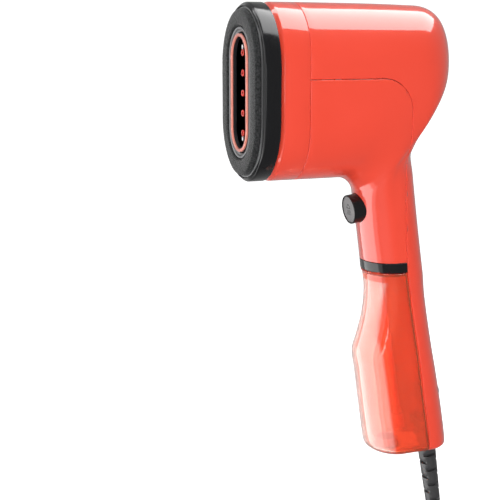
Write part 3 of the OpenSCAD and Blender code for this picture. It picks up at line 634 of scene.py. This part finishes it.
def in_front(face, offset=seam_gap / 2):
    """Whether a face belongs to the pieces in front of the parting line."""
    centre = face.calc_center_median()
    y, z = centre.y, centre.z
    if z < bend_height:
        return y < tank_line(z) + offset
    corner_y, corner_z = split_line(split_height - split_radius) - split_radius, split_height - split_radius
    if z > split_height + offset or y > split_line(z) + offset:
        return False
    if y > corner_y and z > corner_z:
        return math.hypot(y - corner_y, z - corner_z) < split_radius + offset
    return True


bmesh.ops.delete(bm, geom=[f for f in bm.faces if in_front(f)], context="FACES")
cut_with(bm, Vector((0, at_depth(seam_depth) + seam_gap / 2, 0)), Vector((0, -1, 0)), keep="inner")
rim = [v for v in bm.verts if v.is_boundary and v.co.z < bend_height + 0.4
       and abs(v.co.y - tank_line(v.co.z) - seam_gap / 2) < 0.3]
shoulders = [min((v for v in rim if v.co.x * side > 0), key=lambda v: abs(v.co.z - bend_height))
             for side in (-1, 1)]
crossing = bm.edges.new(shoulders)
spine_rim = [e for e in bm.edges if e.is_boundary and all(v in rim for v in e.verts)]
bmesh.ops.edgenet_fill(bm, edges=list({*spine_rim, crossing}))
rear_casing = make_piece("rear_casing", bm, coral_gloss, "housing", "coral_gloss", "rear_shell", sharp=60)
wall_and_edges(rear_casing)
drill(rear_casing, power_radius + 0.25, power_frame, -6, 12)
drill(rear_casing, relief_radius - relief_lip, relief_frame, -8, 16)


# ---- Front collar ----
# Coral ring between the casings and the bezel, a moulding of its own that hides the bezel's fixings.
# Its front edge falls away in a cone, so a dark groove shows behind the bezel.
oval_points = 144


def oval_loop(bm, half_width, half_height, reach, depth):
    """A loop that faces the front: two half ellipses joined by straight sides."""
    places = []
    for i in range(oval_points):
        turn = 2 * math.pi * (i + 0.5) / oval_points
        rise = reach * math.sin(turn) + math.copysign(half_height - reach, math.sin(turn))
        places.append((half_width * math.cos(turn), at_depth(depth), head_middle + rise))
    return loop_of(bm, places)


def oval_solid(sections, closed=True):
    """A ring of oval sections (half width, half height, reach, depth, rounding), bridged in order."""
    bm = bmesh.new()
    loops = [oval_loop(bm, *section[:4]) for section in sections]
    bridge(bm, loops, closed)
    if not closed:
        bmesh.ops.holes_fill(bm, edges=[e for e in bm.edges if e.is_boundary])
    for loop, section in zip(loops, sections):
        edges = [e for e in loop if e.is_valid]
        if section[4]:
            bmesh.ops.bevel(bm, geom=edges, offset=section[4], segments=3, profile=0.5, affect="EDGES",
                            material=-1, clamp_overlap=True)
    return bm


def inset_section(inset, depth, rounding, half_width=body_half_width, half_height=head_height / 2, reach=33):
    """A section of the head's oval, drawn in by the inset."""
    return half_width - inset, half_height - inset, reach - inset, depth, rounding


collar_front = bezel_depth + 0.1
bm = oval_solid([inset_section(2.5, collar_front, 0.2), inset_section(1.9, collar_front + 1.4, 0.2),
                 inset_section(0, collar_front + 3.6, 0.5), inset_section(0, seam_depth - seam_gap / 2, 0.25),
                 inset_section(wall, seam_depth - seam_gap / 2, 0), inset_section(3.6, collar_front, 0)])
make_piece("collar", bm, coral_gloss, "housing", "coral_gloss", "front_collar")


# ---- Bezel ----
# Gloss black ring round the steam face, moulded in heat-proof nylon. Its rim slopes back round the pocket
# that the pad clips into.
bezel_half_width = 34.5
bezel_half_height = head_height / 2 - 0.2
bezel_rim = 2.4
pocket_depth = 6
pad_half_width = bezel_half_width - bezel_rim - 0.25
pad_half_height = bezel_half_height - bezel_rim - 0.25
ring_half_width = 14
ring_half_height = 34.4
black_gloss = new_material("black_gloss", (0.010, 0.010, 0.011), 0.14, Specular_IOR_Level=0.4)
surface(black_gloss, (180, 4), 0.10, 0.2, (1200, 2), 0.000006, 0.6)


def bezel_section(inset, depth, rounding):
    return inset_section(inset, depth, rounding, bezel_half_width, bezel_half_height, 38)


def opening_section(growth, depth, rounding):
    """A section of the stadium-shaped opening round the steam face."""
    return (ring_half_width + growth, ring_half_height + growth, ring_half_width + growth, depth, rounding)


bm = oval_solid([bezel_section(bezel_rim, 0.2, 0.2), bezel_section(1.9, 0, 0.12),
                 bezel_section(1.05, 1.0, 0.1),
                 bezel_section(1.15, 1.25, 0.05), bezel_section(0.75, 1.25, 0.12), bezel_section(0, 2.3, 0.4),
                 bezel_section(0, bezel_depth, 0.6),
                 inset_section(wall + 1.6, bezel_depth, 0), inset_section(wall + 1.6, seam_depth - 4, 0),
                 inset_section(wall + 3.4, seam_depth - 4, 0), inset_section(wall + 3.4, bezel_depth - 2, 0),
                 opening_section(0.9, bezel_depth - 2, 0), opening_section(0.9, pocket_depth, 0.2),
                 bezel_section(bezel_rim, pocket_depth, 0)])
make_piece("bezel_ring", bm, black_gloss, "housing", "black_gloss", "bezel", sharp=30)


# ---- Pad carrier ----
# Satin grey moulding that carries the velvet. A stepped collar stands up through the velvet round the
# steam face, and two steel discs in its back meet magnets in the bezel.
collar_half_width = 18.4
collar_half_height = 38.2
grey_satin = new_material("grey_satin", (0.15, 0.152, 0.158), 0.38, Specular_IOR_Level=0.5)
surface(grey_satin, (220, 4), 0.32, 0.46, (3200, 2), 0.00003, 0.7)


def pad_section(inset, depth, rounding):
    return inset_section(inset, depth, rounding, pad_half_width, pad_half_height, 35.2)


bm = oval_solid([opening_section(0.9, pocket_depth - 0.6, 0), opening_section(0.9, -0.6, 0.15),
                 opening_section(2.2, -1.2, 0.2), opening_section(2.5, -2.0, 0.2),
                 opening_section(3.6, -2.2, 0.35),
                 opening_section(4.05, -1.0, 0.2), opening_section(4.05, 0.6, 0),
                 pad_section(0, 0.6, 0.3), pad_section(0, pocket_depth - 0.6, 0.3)])
make_piece("pad_back", bm, grey_satin, "pad", "grey_plastic", "pad_carrier", sharp=30)

disc_steel = new_material("disc_steel", (0.55, 0.56, 0.58), 0.3, metallic=1.0)
vary_roughness(disc_steel, noise(disc_steel, 700, stretch=(6, 1, 1)), 0.22, 0.42)
raise_grain(disc_steel, noise(disc_steel, 2600, stretch=(8, 1, 1)), 0.00001)
dress(disc_steel, "pad_clips")


# ---- Velvet pad ----
# Short-pile charcoal velvet over a thin foam, glued to the carrier. It is softly crowned, with its edges
# rolled over, and the pile catches the light unevenly.
velvet_half_width = pad_half_width - 0.9
velvet_half_height = pad_half_height - 0.6
velvet_front = -2.9
velvet = new_material("velvet", (0.035, 0.036, 0.038), 0.95, Specular_IOR_Level=0.15, Sheen_Weight=0.35,
                      Sheen_Roughness=0.35)
vary_colour(velvet, noise(velvet, 900, 6), (0.009, 0.0095, 0.010), (0.042, 0.043, 0.044), (0.36, 0.66))
raise_grain(velvet, noise(velvet, 1500, 5), 0.0004, 0.8)
crown_loops = []
bm = bmesh.new()
inner_width, inner_height = collar_half_width + 0.15, collar_half_height + 0.15
crown_steps = 12
edge_roll = 1.7
for step in range(crown_steps + 1):
    share = step / crown_steps
    from_edge = min(share, 1 - share) * (velvet_half_width - inner_width)
    roll = math.sqrt(max(0, 1 - (1 - min(from_edge / edge_roll, 1)) ** 2))
    crown = 0.35 * math.sin(math.pi * share)
    depth = 0.5 - roll * (0.5 - velvet_front - 0.35) - crown
    crown_loops.append(oval_loop(bm, between(velvet_half_width, inner_width, share),
                                 between(velvet_half_height, inner_height, share),
                                 between(34.6, inner_width, share), depth))
crown_loops.append(oval_loop(bm, inner_width, inner_height, inner_width, 0.58))
crown_loops.append(oval_loop(bm, velvet_half_width, velvet_half_height, 34.6, 0.58))
bridge(bm, crown_loops, closed=True)
velvet_face = make_piece("velvet_face", bm, velvet, "pad", "velvet", "velvet_pad", sharp=80)
add_modifier(velvet_face, "SUBSURF", levels=2, render_levels=2)
apply_modifiers(velvet_face)
pile = bpy.data.textures.new("pile", "CLOUDS")
pile.noise_scale = 0.0008
pile.noise_depth = 3
add_modifier(velvet_face, "DISPLACE", texture=pile, texture_coords="LOCAL", strength=0.00022, mid_level=0.6)
apply_modifiers(velvet_face)


# ---- Steam face ----
# A frame holds the coral ring and the coated plate. Steam leaves through five red nylon inserts that
# stand in a sunken slot, joined by a groove; two small screws hold the plate to the manifold behind.
# The plate's finished mesh is broken, with most of it missing; the cause is not known.
ring_band = 1.7
plate_half_width = ring_half_width - ring_band - 0.1
plate_half_height = ring_half_height - ring_band - 0.1
black_satin = new_material("black_satin", (0.018, 0.018, 0.02), 0.36)
surface(black_satin, (260, 4), 0.3, 0.46, (3600, 2), 0.00002, 0.7)
dress(black_satin, "plate_frame", "trigger_guide", "microswitch", "tank_dock", "power_switch", "cord_clamp",
      "board_parts")

coral_pale = new_material("coral_pale", (0.93, 0.30, 0.23), 0.22, Specular_IOR_Level=0.5)
surface(coral_pale, (300, 3), 0.18, 0.3, (1800, 2), 0.00001, 0.6)
bm = oval_solid([opening_section(0, -1.45, 0), opening_section(0, -2.6, 0.35),
                 opening_section(-ring_band, -2.6, 0.35),
                 opening_section(-ring_band, -1.45, 0)])
make_piece("coral_ring", bm, coral_pale, "housing", "coral_pale", "steam_ring")


def plate_section(inset, depth, rounding):
    return (plate_half_width - inset, plate_half_height - inset, plate_half_width - inset, depth, rounding)


plate_coat = new_material("plate_coat", (0.165, 0.165, 0.155), 0.55, Specular_IOR_Level=0.3)
vary_colour(plate_coat, noise(plate_coat, 1800, 4), (0.11, 0.108, 0.10), (0.155, 0.153, 0.142))
surface(plate_coat, (400, 4), 0.46, 0.62, (2600, 3), 0.00003, 0.6)
slot_half_width = 5.4
hole_pitch = 11.7
hole_radius = 1.2
slot_half_height = 2 * hole_pitch + 5.7
slot_floor = 0.5
plate_front = -1
groove_floor = 0.9


def slot_section(inset, depth, rounding):
    return (slot_half_width - inset, slot_half_height - inset, slot_half_width - inset, depth, rounding)


groove = (0.4, 2 * hole_pitch, 0.4)
bm = oval_solid([plate_section(0, 1.6, 0), plate_section(0, plate_front, 0.3),
                 slot_section(-0.5, plate_front, 0.2),
                 slot_section(0, plate_front + 0.35, 0.2), slot_section(0.2, slot_floor, 0),
                 (*groove, slot_floor, 0), (*groove, groove_floor, 0)], closed=False)
plate = make_piece("plate", bm, plate_coat, "housing", "plate_grey", "steam_plate", sharp=30)
facing = Matrix.Rotation(-math.pi / 2, 4, "X")
for i in range(5):
    hole = Matrix.Translation((0, at_depth(0), head_middle + (i - 2) * hole_pitch)) @ facing
    drill(plate, hole_radius + 0.8, hole, -2, 6)
for side in (-1, 1):
    hole = Matrix.Translation((0, at_depth(0), head_middle + side * (2 * hole_pitch + 3.3))) @ facing
    drill(plate, 0.9, hole, -2, 6)


insert_red = new_material("insert_red", (0.85, 0.035, 0.015), 0.3, Specular_IOR_Level=0.5)
surface(insert_red, (900, 3), 0.24, 0.4, (3000, 2), 0.00001, 0.6)
bm = bmesh.new()
for i in range(5):
    cup = bmesh.new()
    spin_outline(cup, [(hole_radius, 2.6), (hole_radius, 0.2), (hole_radius + 0.15, 0.03),
                       (hole_radius + 0.4, 0),
                       (hole_radius + 0.65, 0.03), (hole_radius + 0.78, 0.2), (hole_radius + 0.78, 2.6),
                       (hole_radius, 2.6)], steps=32)
    hole = Matrix.Translation((0, at_depth(0), head_middle + (i - 2) * hole_pitch)) @ facing
    bmesh.ops.transform(cup, matrix=hole, verts=cup.verts)
    cup_mesh = bpy.data.meshes.new("cup")
    cup.to_mesh(cup_mesh)
    cup.free()
    bm.from_mesh(cup_mesh)
make_piece("steam_cups", bm, insert_red, "housing", "insert_red", "hole_inserts", sharp=35)
dress(insert_red, "switch_plunger", "tank_valve")
dress(disc_steel, "plate_screws", "boiler_screws", "casing_screws", "trigger_spring", "pump_piston",
      "boiler_bracket")


# ---- Tank band ----
# Black trim over the dock, where the tank's top closes against the handle. Satin ABS, clipped in; it is drawn
# in the gloss black material.
bm = form_skin(first_tank_station - 0.4, first_tank_station + 1.6, 0.1)
cut_with(bm, Vector((0, 0, band_top - 0.1)), Vector((0, 0, 1)), keep="inner")
cut_with(bm, Vector((0, 0, tank_top + 0.15)), Vector((0, 0, -1)), keep="inner")
side_cut(bm, (split_line(band_top + 5) - seam_gap / 2, band_top + 5),
         (split_line(tank_top - 5) - seam_gap / 2, tank_top - 5), keep="inner")
band_trim = make_piece("band_trim", bm, black_gloss, "housing", "black_satin", "tank_band", sharp=60)
wall_and_edges(band_trim, edge=0.25)


# ---- Water tank ----
# Clear coral-tinted copolyester bottle with a 2 mm wall. It slides up the spine until its spout seats in
# the dock, and its floor is recessed round the rubber filler plug.
tank_wall = 2
tank_tilt = math.atan(tank_slope)
spout_radius = 4
spout_bore = 2.1
spout_height = 8
spout_frame = (Matrix.Translation((0, split_line(tank_top) - 11, tank_top - 0.25))
               @ Matrix.Rotation(tank_tilt, 4, "X"))
filler_radius = 7
filler_frame = (Matrix.Translation((0, tank_line(tank_bottom) - 22, tank_bottom))
                @ Matrix.Rotation(math.pi, 4, "X"))
tank_clear = new_material("tank_clear", (0.96, 0.30, 0.22), 0.13, IOR=1.3, Transmission_Weight=0.8,
                          Specular_IOR_Level=0.3, Coat_Weight=0.7, Coat_Roughness=0.02)
surface(tank_clear, (120, 4), 0.11, 0.15, (300, 2), 0.000001, 0.5)


def beyond(material, across, line, blur):
    """How far a place has passed a plane: 0 to 1 over the blur, all in mm."""
    nodes, links = material.node_tree.nodes, material.node_tree.links
    place = nodes.new("ShaderNodeTexCoord")
    depth = nodes.new("ShaderNodeVectorMath")
    depth.operation = "DOT_PRODUCT"
    depth.inputs[1].default_value = across
    share = nodes.new("ShaderNodeMapRange")
    share.interpolation_type = "SMOOTHSTEP"
    share.inputs["From Min"].default_value = (line - blur) * MM
    share.inputs["From Max"].default_value = line * MM
    links.new(place.outputs["Object"], depth.inputs[0])
    links.new(depth.outputs["Value"], share.inputs["Value"])
    return share.outputs["Result"]


def combine(material, operation, first, second):
    node = material.node_tree.nodes.new("ShaderNodeMath")
    node.operation = operation
    material.node_tree.links.new(first, node.inputs[0])
    material.node_tree.links.new(second, node.inputs[1])
    return node.outputs["Value"]


# The tint is painted by place: deep red-orange along the spine and under the dock, and pale in the window in
# front, where the pale is a painted highlight standing in for the light that comes through and off the clear
# front wall
highlight_edge_low = beyond(tank_clear, (0, 1, tank_slope), tank_line(0) - 24, 2)
highlight_edge_high = beyond(tank_clear, (0, 1, -0.147), tank_line(0) - 5.1, 2)
highlight_edge_top = beyond(tank_clear, (0, 0, 1), tank_top - 6, 1)
outside_highlight_band = combine(tank_clear, "MINIMUM", highlight_edge_low, highlight_edge_high)
beyond_painted_highlight = combine(tank_clear, "MAXIMUM", outside_highlight_band, highlight_edge_top)
# painted highlight: the pale tone sits where the mask is low, the tank's deep coral tint where it is high
vary_colour(tank_clear, beyond_painted_highlight, (0.99, 0.69, 0.62), (0.97, 0.21, 0.095), (0, 1))

back_corner = 1.0
front_points = 96


def bottle_ring(position, level=None, inset=0):
    """The form's section at a position, closed by a flat back with round corners along the spine."""
    ring = form_ring(position)
    limit = tank_line(ring[0].z) - seam_gap - back_corner
    path = []
    for here, there in zip(ring, ring[1:] + ring[:1]):
        if (here.y < limit) != (there.y < limit):
            path.append(here.lerp(there, (limit - here.y) / (there.y - here.y)))
        if there.y < limit:
            path.append(there)
    lengths = [0]
    for here, there in zip(path, path[1:]):
        lengths.append(lengths[-1] + (there - here).length)
    places = []
    k = 0
    for i in range(front_points):
        wanted = lengths[-1] * i / (front_points - 1)
        while k < len(path) - 2 and lengths[k + 1] < wanted:
            k += 1
        places.append(path[k].lerp(path[k + 1], (wanted - lengths[k]) / (lengths[k + 1] - lengths[k])))
    half_back = places[-1].x - back_corner
    turns = [math.pi / 2 * (i + 1) / 5 for i in range(5)]
    right = [Vector((half_back + back_corner * math.cos(t), limit + back_corner * math.sin(t), places[0].z))
             for t in turns]
    flat = [Vector((half_back * (1 - 2 * i / 8), limit + back_corner, places[0].z)) for i in range(1, 8)]
    left = [Vector((-v.x, v.y, v.z)) for v in reversed(right)]
    places += right + flat + left
    middle = Vector((0, (min(v.y for v in places) + limit) / 2, 0))
    for v in places:
        flat_place = Vector((v.x, v.y, 0)) - middle
        flat_place *= 1 - inset / flat_place.length
        v.x, v.y = middle.x + flat_place.x, middle.y + flat_place.y
        v.z = v.z if level is None else level
    return places


bm = bmesh.new()
top_position = first_tank_station + 1.07
ring_steps = 110
tank_rings = [bottle_ring(top_position, tank_top - 0.25, 0.8),
              bottle_ring(top_position, tank_top - 0.45, 0.25),
              bottle_ring(top_position, tank_top - 0.95)]
for i in range(ring_steps + 1):
    position = first_tank_station + 1.5 + (last_station - first_tank_station - 1.5) * i / ring_steps
    tank_rings.append(bottle_ring(position))
tank_loops = [loop_of(bm, ring) for ring in tank_rings]
bridge(bm, tank_loops)
bmesh.ops.holes_fill(bm, edges=tank_loops[0] + tank_loops[-1])
tank_bottle = make_piece("tank_bottle", bm, tank_clear, "tank", "tank_clear", "water_tank", sharp=50)
add_modifier(tank_bottle, "SOLIDIFY", thickness=tank_wall * MM, offset=-1, use_even_offset=False)
apply_modifiers(tank_bottle)
drill(tank_bottle, filler_radius + 0.1, filler_frame, -5, 8)
drill(tank_bottle, filler_radius + 1.8, filler_frame, -1.3, 4)
drill(tank_bottle, spout_bore, spout_frame, -4, 8)
tank_bottle.data.shade_smooth()
tank_bottle.data.set_sharp_from_angle(angle=math.radians(50))

bm = bmesh.new()
spin_outline(bm, [(spout_bore, -0.3), (spout_bore, spout_height), (spout_radius - 0.3, spout_height),
                  (spout_radius, spout_height - 0.4), (spout_radius, spout_height - 1.6),
                  (spout_radius - 1.05, spout_height - 1.65), (spout_radius - 1.05, spout_height - 3.35),
                  (spout_radius, spout_height - 3.4), (spout_radius, 0.6), (spout_radius + 0.6, -0.3),
                  (spout_bore, -0.3)])
bmesh.ops.transform(bm, matrix=spout_frame, verts=bm.verts)
make_piece("tank_spout", bm, tank_clear, "tank", "tank_clear")

silicone = new_material("silicone", (0.72, 0.72, 0.69), 0.35, Subsurface_Weight=0.2, Subsurface_Scale=0.002)
surface(silicone, (300, 3), 0.28, 0.45, (2000, 3), 0.00002)
dress(silicone, "plate_gasket", "steam_hose", "water_pipe")
seal_rubber = new_material("seal_rubber", (0.014, 0.014, 0.015), 0.5)
surface(seal_rubber, (400, 3), 0.42, 0.62, (2800, 3), 0.00004)
dress(seal_rubber, "dock_seal", "pump_cradle")
tank_coral = new_material("tank_coral", (0.90, 0.14, 0.07), 0.35, Subsurface_Weight=0.2,
                          Subsurface_Scale=0.002)
surface(tank_coral, (300, 3), 0.28, 0.45, (2000, 3), 0.00002)
dress(tank_coral, "pickup_tube", "tank_filter", "tank_plug")


# ---- Trigger ----
# Gloss black barrel that slides into the handle against a spring. A satin grey disc is set in its end,
# with a cloud of steam over an iron-shaped tip pressed into it as its sign.
bm = bmesh.new()
trigger_length = 16
spin_outline(bm, [(0, 1.4), (trigger_radius - 0.95, 1.4), (trigger_radius - 0.9, 0.25),
                  (trigger_radius - 0.7, 0.02), (trigger_radius - 0.25, 0.06), (trigger_radius - 0.05, 0.3),
                  (trigger_radius, 0.7), (trigger_radius, trigger_length),
                  (trigger_radius + 0.7, trigger_length),
                  (trigger_radius + 0.7, trigger_length + 1.6), (trigger_radius - 1.6, trigger_length + 1.6),
                  (trigger_radius - 1.6, 5), (1.9, 5), (1.9, 19.7), (0, 19.7)], steps=96)
bmesh.ops.transform(bm, matrix=trigger_frame, verts=bm.verts)
make_piece("trigger_barrel", bm, black_gloss, "trigger", "black_gloss", "trigger_button", sharp=40)

disc_satin = new_material("disc_satin", (0.19, 0.19, 0.195), 0.34, Specular_IOR_Level=0.5)
surface(disc_satin, (300, 4), 0.28, 0.42, (3600, 2), 0.00002, 0.7)
bm = bmesh.new()
spin_outline(bm, [(0, 1.38), (trigger_radius - 0.98, 1.38), (trigger_radius - 0.98, 0.62),
                  (trigger_radius - 1.15, 0.45), (trigger_radius - 3, 0.35), (0, 0.3)], steps=96)
bmesh.ops.transform(bm, matrix=trigger_frame, verts=bm.verts)
make_piece("trigger_disc", bm, disc_satin, "trigger", "grey_plastic", "trigger_face", sharp=40)

sign_ink = new_material("sign_ink", (0.01, 0.01, 0.011), 0.5)
surface(sign_ink, (900, 3), 0.42, 0.6, (4000, 3), 0.00001)


def sign_stroke(bm, places, width):
    """A thin raised stroke on the trigger's face, through places given as (across, up)."""
    loops = []
    for i, place in enumerate(places):
        before, after = Vector(places[max(i - 1, 0)]), Vector(places[min(i + 1, len(places) - 1)])
        along = (after - before).normalized()
        side = Vector((-along.y, along.x)) * width / 2
        here = Vector(place)
        corners = [(here + side, 0.27), (here - side, 0.27), (here - side, 0.42), (here + side, 0.42)]
        loops.append(loop_of(bm, [(c.x, c.y, depth) for c, depth in corners]))
    bridge(bm, loops)
    bmesh.ops.holes_fill(bm, edges=[e for e in bm.edges if e.is_boundary])


bm = bmesh.new()
for offset in (-1.5, 0, 1.5):
    wave = [(offset + 0.4 * math.sin(2 * math.pi * t / 12), 0.2 + 3.2 * t / 12) for t in range(13)]
    sign_stroke(bm, wave, 0.55)
sign_stroke(bm, [(-2.6, -0.9), (2.6, -0.9)], 0.7)
sign_stroke(bm, [(-2.3, -1.2), (-0.4, -3.4)], 0.6)
sign_stroke(bm, [(2.3, -1.2), (0.4, -3.4)], 0.6)
bmesh.ops.transform(bm, matrix=trigger_frame, verts=bm.verts)
make_piece("trigger_sign", bm, sign_ink, "trigger", "black_satin")


# ---- Power button ----
# Low black dome on the spine, in gloss ABS, with a flange inside that keeps it in its hole.
dome_height = 2.4
dome_radius = (power_radius ** 2 + dome_height ** 2) / (2 * dome_height)
dome_reach = math.asin(power_radius / dome_radius)
dome_outline = [(dome_radius * math.sin(dome_reach * i / 8),
                 dome_radius - dome_height - dome_radius * math.cos(dome_reach * i / 8)) for i in range(9)]
bm = bmesh.new()
flange_outline = [(power_radius, 3.5), (power_radius + 1, 3.5), (power_radius + 1, 4.5), (0, 4.5)]
spin_outline(bm, dome_outline + flange_outline)
bmesh.ops.transform(bm, matrix=power_frame, verts=bm.verts)
dome_black = new_material("dome_black", (0.008, 0.008, 0.009), 0.3, Specular_IOR_Level=0.12)
surface(dome_black, (300, 3), 0.25, 0.38, (1200, 2), 0.000006, 0.6)
make_piece("power_dome", bm, dome_black, "power", "black_gloss", "power_button", sharp=35)


# ---- Boiler, pump and electrics ----
# What the casings hide: a die-cast boiler with its heater cast in, a solenoid pump, and a small board.
# They keep the shapes that they are designed with, and take the finishes of their trades.
cast_alloy = new_material("cast_alloy", (0.56, 0.57, 0.58), 0.48, metallic=0.9)
vary_colour(cast_alloy, noise(cast_alloy, 500, 4), (0.48, 0.49, 0.50), (0.64, 0.65, 0.66))
surface(cast_alloy, (900, 4), 0.4, 0.62, (1500, 4), 0.00008)
dress(cast_alloy, "boiler_body", "boiler_lid", "steam_manifold")

seal_red = new_material("seal_red", (0.36, 0.045, 0.02), 0.5)
surface(seal_red, (500, 3), 0.42, 0.6, (2400, 3), 0.00003)
dress(seal_red, "boiler_gasket")

heater_tube = new_material("heater_tube", (0.22, 0.2, 0.18), 0.4, metallic=0.9)
vary_colour(heater_tube, noise(heater_tube, 120, 4), (0.16, 0.12, 0.10), (0.30, 0.29, 0.30))
surface(heater_tube, (700, 3), 0.3, 0.55, (2000, 3), 0.00002)
dress(heater_tube, "heating_element")

phenolic = new_material("phenolic", (0.68, 0.64, 0.52), 0.55)
vary_colour(phenolic, noise(phenolic, 800, 4), (0.62, 0.58, 0.46), (0.74, 0.70, 0.58))
surface(phenolic, (500, 3), 0.45, 0.65, (2600, 3), 0.00004)
dress(phenolic, "thermostat")

fuse_brass = new_material("fuse_brass", (0.62, 0.42, 0.14), 0.3, metallic=1.0)
surface(fuse_brass, (900, 3), 0.22, 0.42, (2500, 3), 0.00001)
dress(fuse_brass, "thermal_fuse")

winding = new_material("winding", (0.45, 0.14, 0.035), 0.32, metallic=0.8)
vary_colour(winding, noise(winding, 300, stretch=(1, 12, 1)), (0.34, 0.10, 0.025), (0.54, 0.18, 0.05))
vary_roughness(winding, noise(winding, 700), 0.26, 0.4)
raise_grain(winding, noise(winding, 900, stretch=(0.2, 4, 0.2)), 0.0001)
dress(winding, "pump_coil")

white_nylon = new_material("white_nylon", (0.70, 0.70, 0.67), 0.45)
vary_colour(white_nylon, noise(white_nylon, 90), (0.66, 0.66, 0.62), (0.73, 0.73, 0.71))
surface(white_nylon, (500, 3), 0.38, 0.55, (2600, 3), 0.00003)
dress(white_nylon, "pump_barrel", "check_valve")

board_resist = new_material("board_resist", (0.012, 0.11, 0.035), 0.35)
vary_colour(board_resist, noise(board_resist, 700, 5), (0.010, 0.085, 0.028), (0.016, 0.15, 0.05),
            (0.48, 0.52))
surface(board_resist, (600, 3), 0.28, 0.45, (1400, 4), 0.00004)
dress(board_resist, "circuit_board")
dress(cord_sheath, "inner_cord")


# ---- Floor and light ----
# A white, softly glowing floor far below the steamer, which is held in the air, in a room that is brightest
# opposite the camera. The gloss lamps are seen only in reflections: a long one overhead, a wide one in
# front of the steam face and small ones that edge the form. The fill lamps only light diffusely.
floor_bm = bmesh.new()
bmesh.ops.create_grid(floor_bm, x_segments=1, y_segments=1, size=30)
bmesh.ops.translate(floor_bm, vec=(0, 0, cad_box[0].z - 0.03), verts=floor_bm.verts)
floor_mesh = bpy.data.meshes.new("floor")
floor_bm.to_mesh(floor_mesh)
floor_bm.free()
floor = bpy.data.objects.new("floor", floor_mesh)
bpy.context.scene.collection.objects.link(floor)
floor_mesh.materials.append(new_material("floor_paint", (0.93, 0.93, 0.93), 0.8, Specular_IOR_Level=0.1,
                                         Emission_Color=(1, 1, 1, 1), Emission_Strength=0.8))
floor.visible_diffuse = floor.visible_glossy = floor.visible_shadow = False

world = bpy.data.worlds.new("studio")
world.use_nodes = True
bpy.context.scene.world = world
sky, sky_links = world.node_tree.nodes, world.node_tree.links
direction = sky.new("ShaderNodeTexCoord")
towards_backdrop = sky.new("ShaderNodeVectorMath")
towards_backdrop.operation = "DOT_PRODUCT"
towards_backdrop.inputs[1].default_value = (-math.sin(camera_turn), math.cos(camera_turn), 0.25)
room = sky.new("ShaderNodeMapRange")
room.interpolation_type = "SMOOTHSTEP"
room.inputs["From Min"].default_value = -0.45
room.inputs["From Max"].default_value = 0.75
room.inputs["To Min"].default_value = 0.22
room.inputs["To Max"].default_value = 0.6
seen = sky.new("ShaderNodeLightPath")
choose = sky.new("ShaderNodeMix")
choose.inputs["B"].default_value = 1.1
sky_links.new(direction.outputs["Generated"], towards_backdrop.inputs[0])
sky_links.new(towards_backdrop.outputs["Value"], room.inputs["Value"])
dim = sky.new("ShaderNodeMapRange")
dim.inputs["To Min"].default_value = 1
dim.inputs["To Max"].default_value = 0.65
sky_links.new(seen.outputs["Is Glossy Ray"], dim.inputs["Value"])
dimmed = sky.new("ShaderNodeMath")
dimmed.operation = "MULTIPLY"
sky_links.new(room.outputs["Result"], dimmed.inputs[0])
sky_links.new(dim.outputs["Result"], dimmed.inputs[1])
sky_links.new(dimmed.outputs["Value"], choose.inputs["A"])
sky_links.new(seen.outputs["Is Camera Ray"], choose.inputs["Factor"])
sky_links.new(choose.outputs["Result"], sky["Background"].inputs["Strength"])
sky["Background"].inputs["Color"].default_value = (1, 1, 1, 1)


def softbox(name, place, aim, width, height, power, diffuse=True, glossy=True):
    """A rectangular softbox at a place in metres, aimed at a point."""
    light = bpy.data.lights.new(name, "AREA")
    light.shape = "RECTANGLE"
    light.size, light.size_y = width, height
    light.energy = power
    lamp = bpy.data.objects.new(name, light)
    lamp.location = place
    lamp.rotation_euler = (Vector(aim) - Vector(place)).to_track_quat("-Z", "Y").to_euler()
    lamp.visible_camera = False
    lamp.visible_diffuse = diffuse
    lamp.visible_glossy = glossy
    bpy.context.scene.collection.objects.link(lamp)
    return lamp


overhead_rise = 0.85
head_metres = head_middle * MM
softbox("overhead_gloss", (0.05 * overhead_rise, 0.40 * overhead_rise, head_metres + overhead_rise),
        (0.05 * overhead_rise, 0.40 * overhead_rise, 0), 1.14 * overhead_rise, 1.7, 34, diffuse=False)
softbox("overhead_fill", (0.5, -0.2, 1.3), (0, 0, 0), 1.2, 1.6, 11, glossy=False)
softbox("front_gloss", (-0.62, -1.1, -0.1), (-0.62, 0, -0.1), 2.05, 2.5, 64, diffuse=False)
softbox("left_gloss", (-1.75, -0.4, -0.1), (0, -0.1, -0.1), 1.2, 2.5, 3, diffuse=False)
softbox("front_edge_gloss", (0.64, -1.1, -0.25), (0.64, 0, -0.25), 0.46, 2.2, 4, diffuse=False)
softbox("edge_gloss", (1.35, -0.85, 0.13), (0, 0, 0.13), 0.22, 0.3, 1.2, diffuse=False)
softbox("side_fill", (1.3, -0.6, -0.45), (0, 0, 0), 1.4, 1.4, 22, glossy=False)
bpy.context.scene.view_settings.view_transform = "Standard"
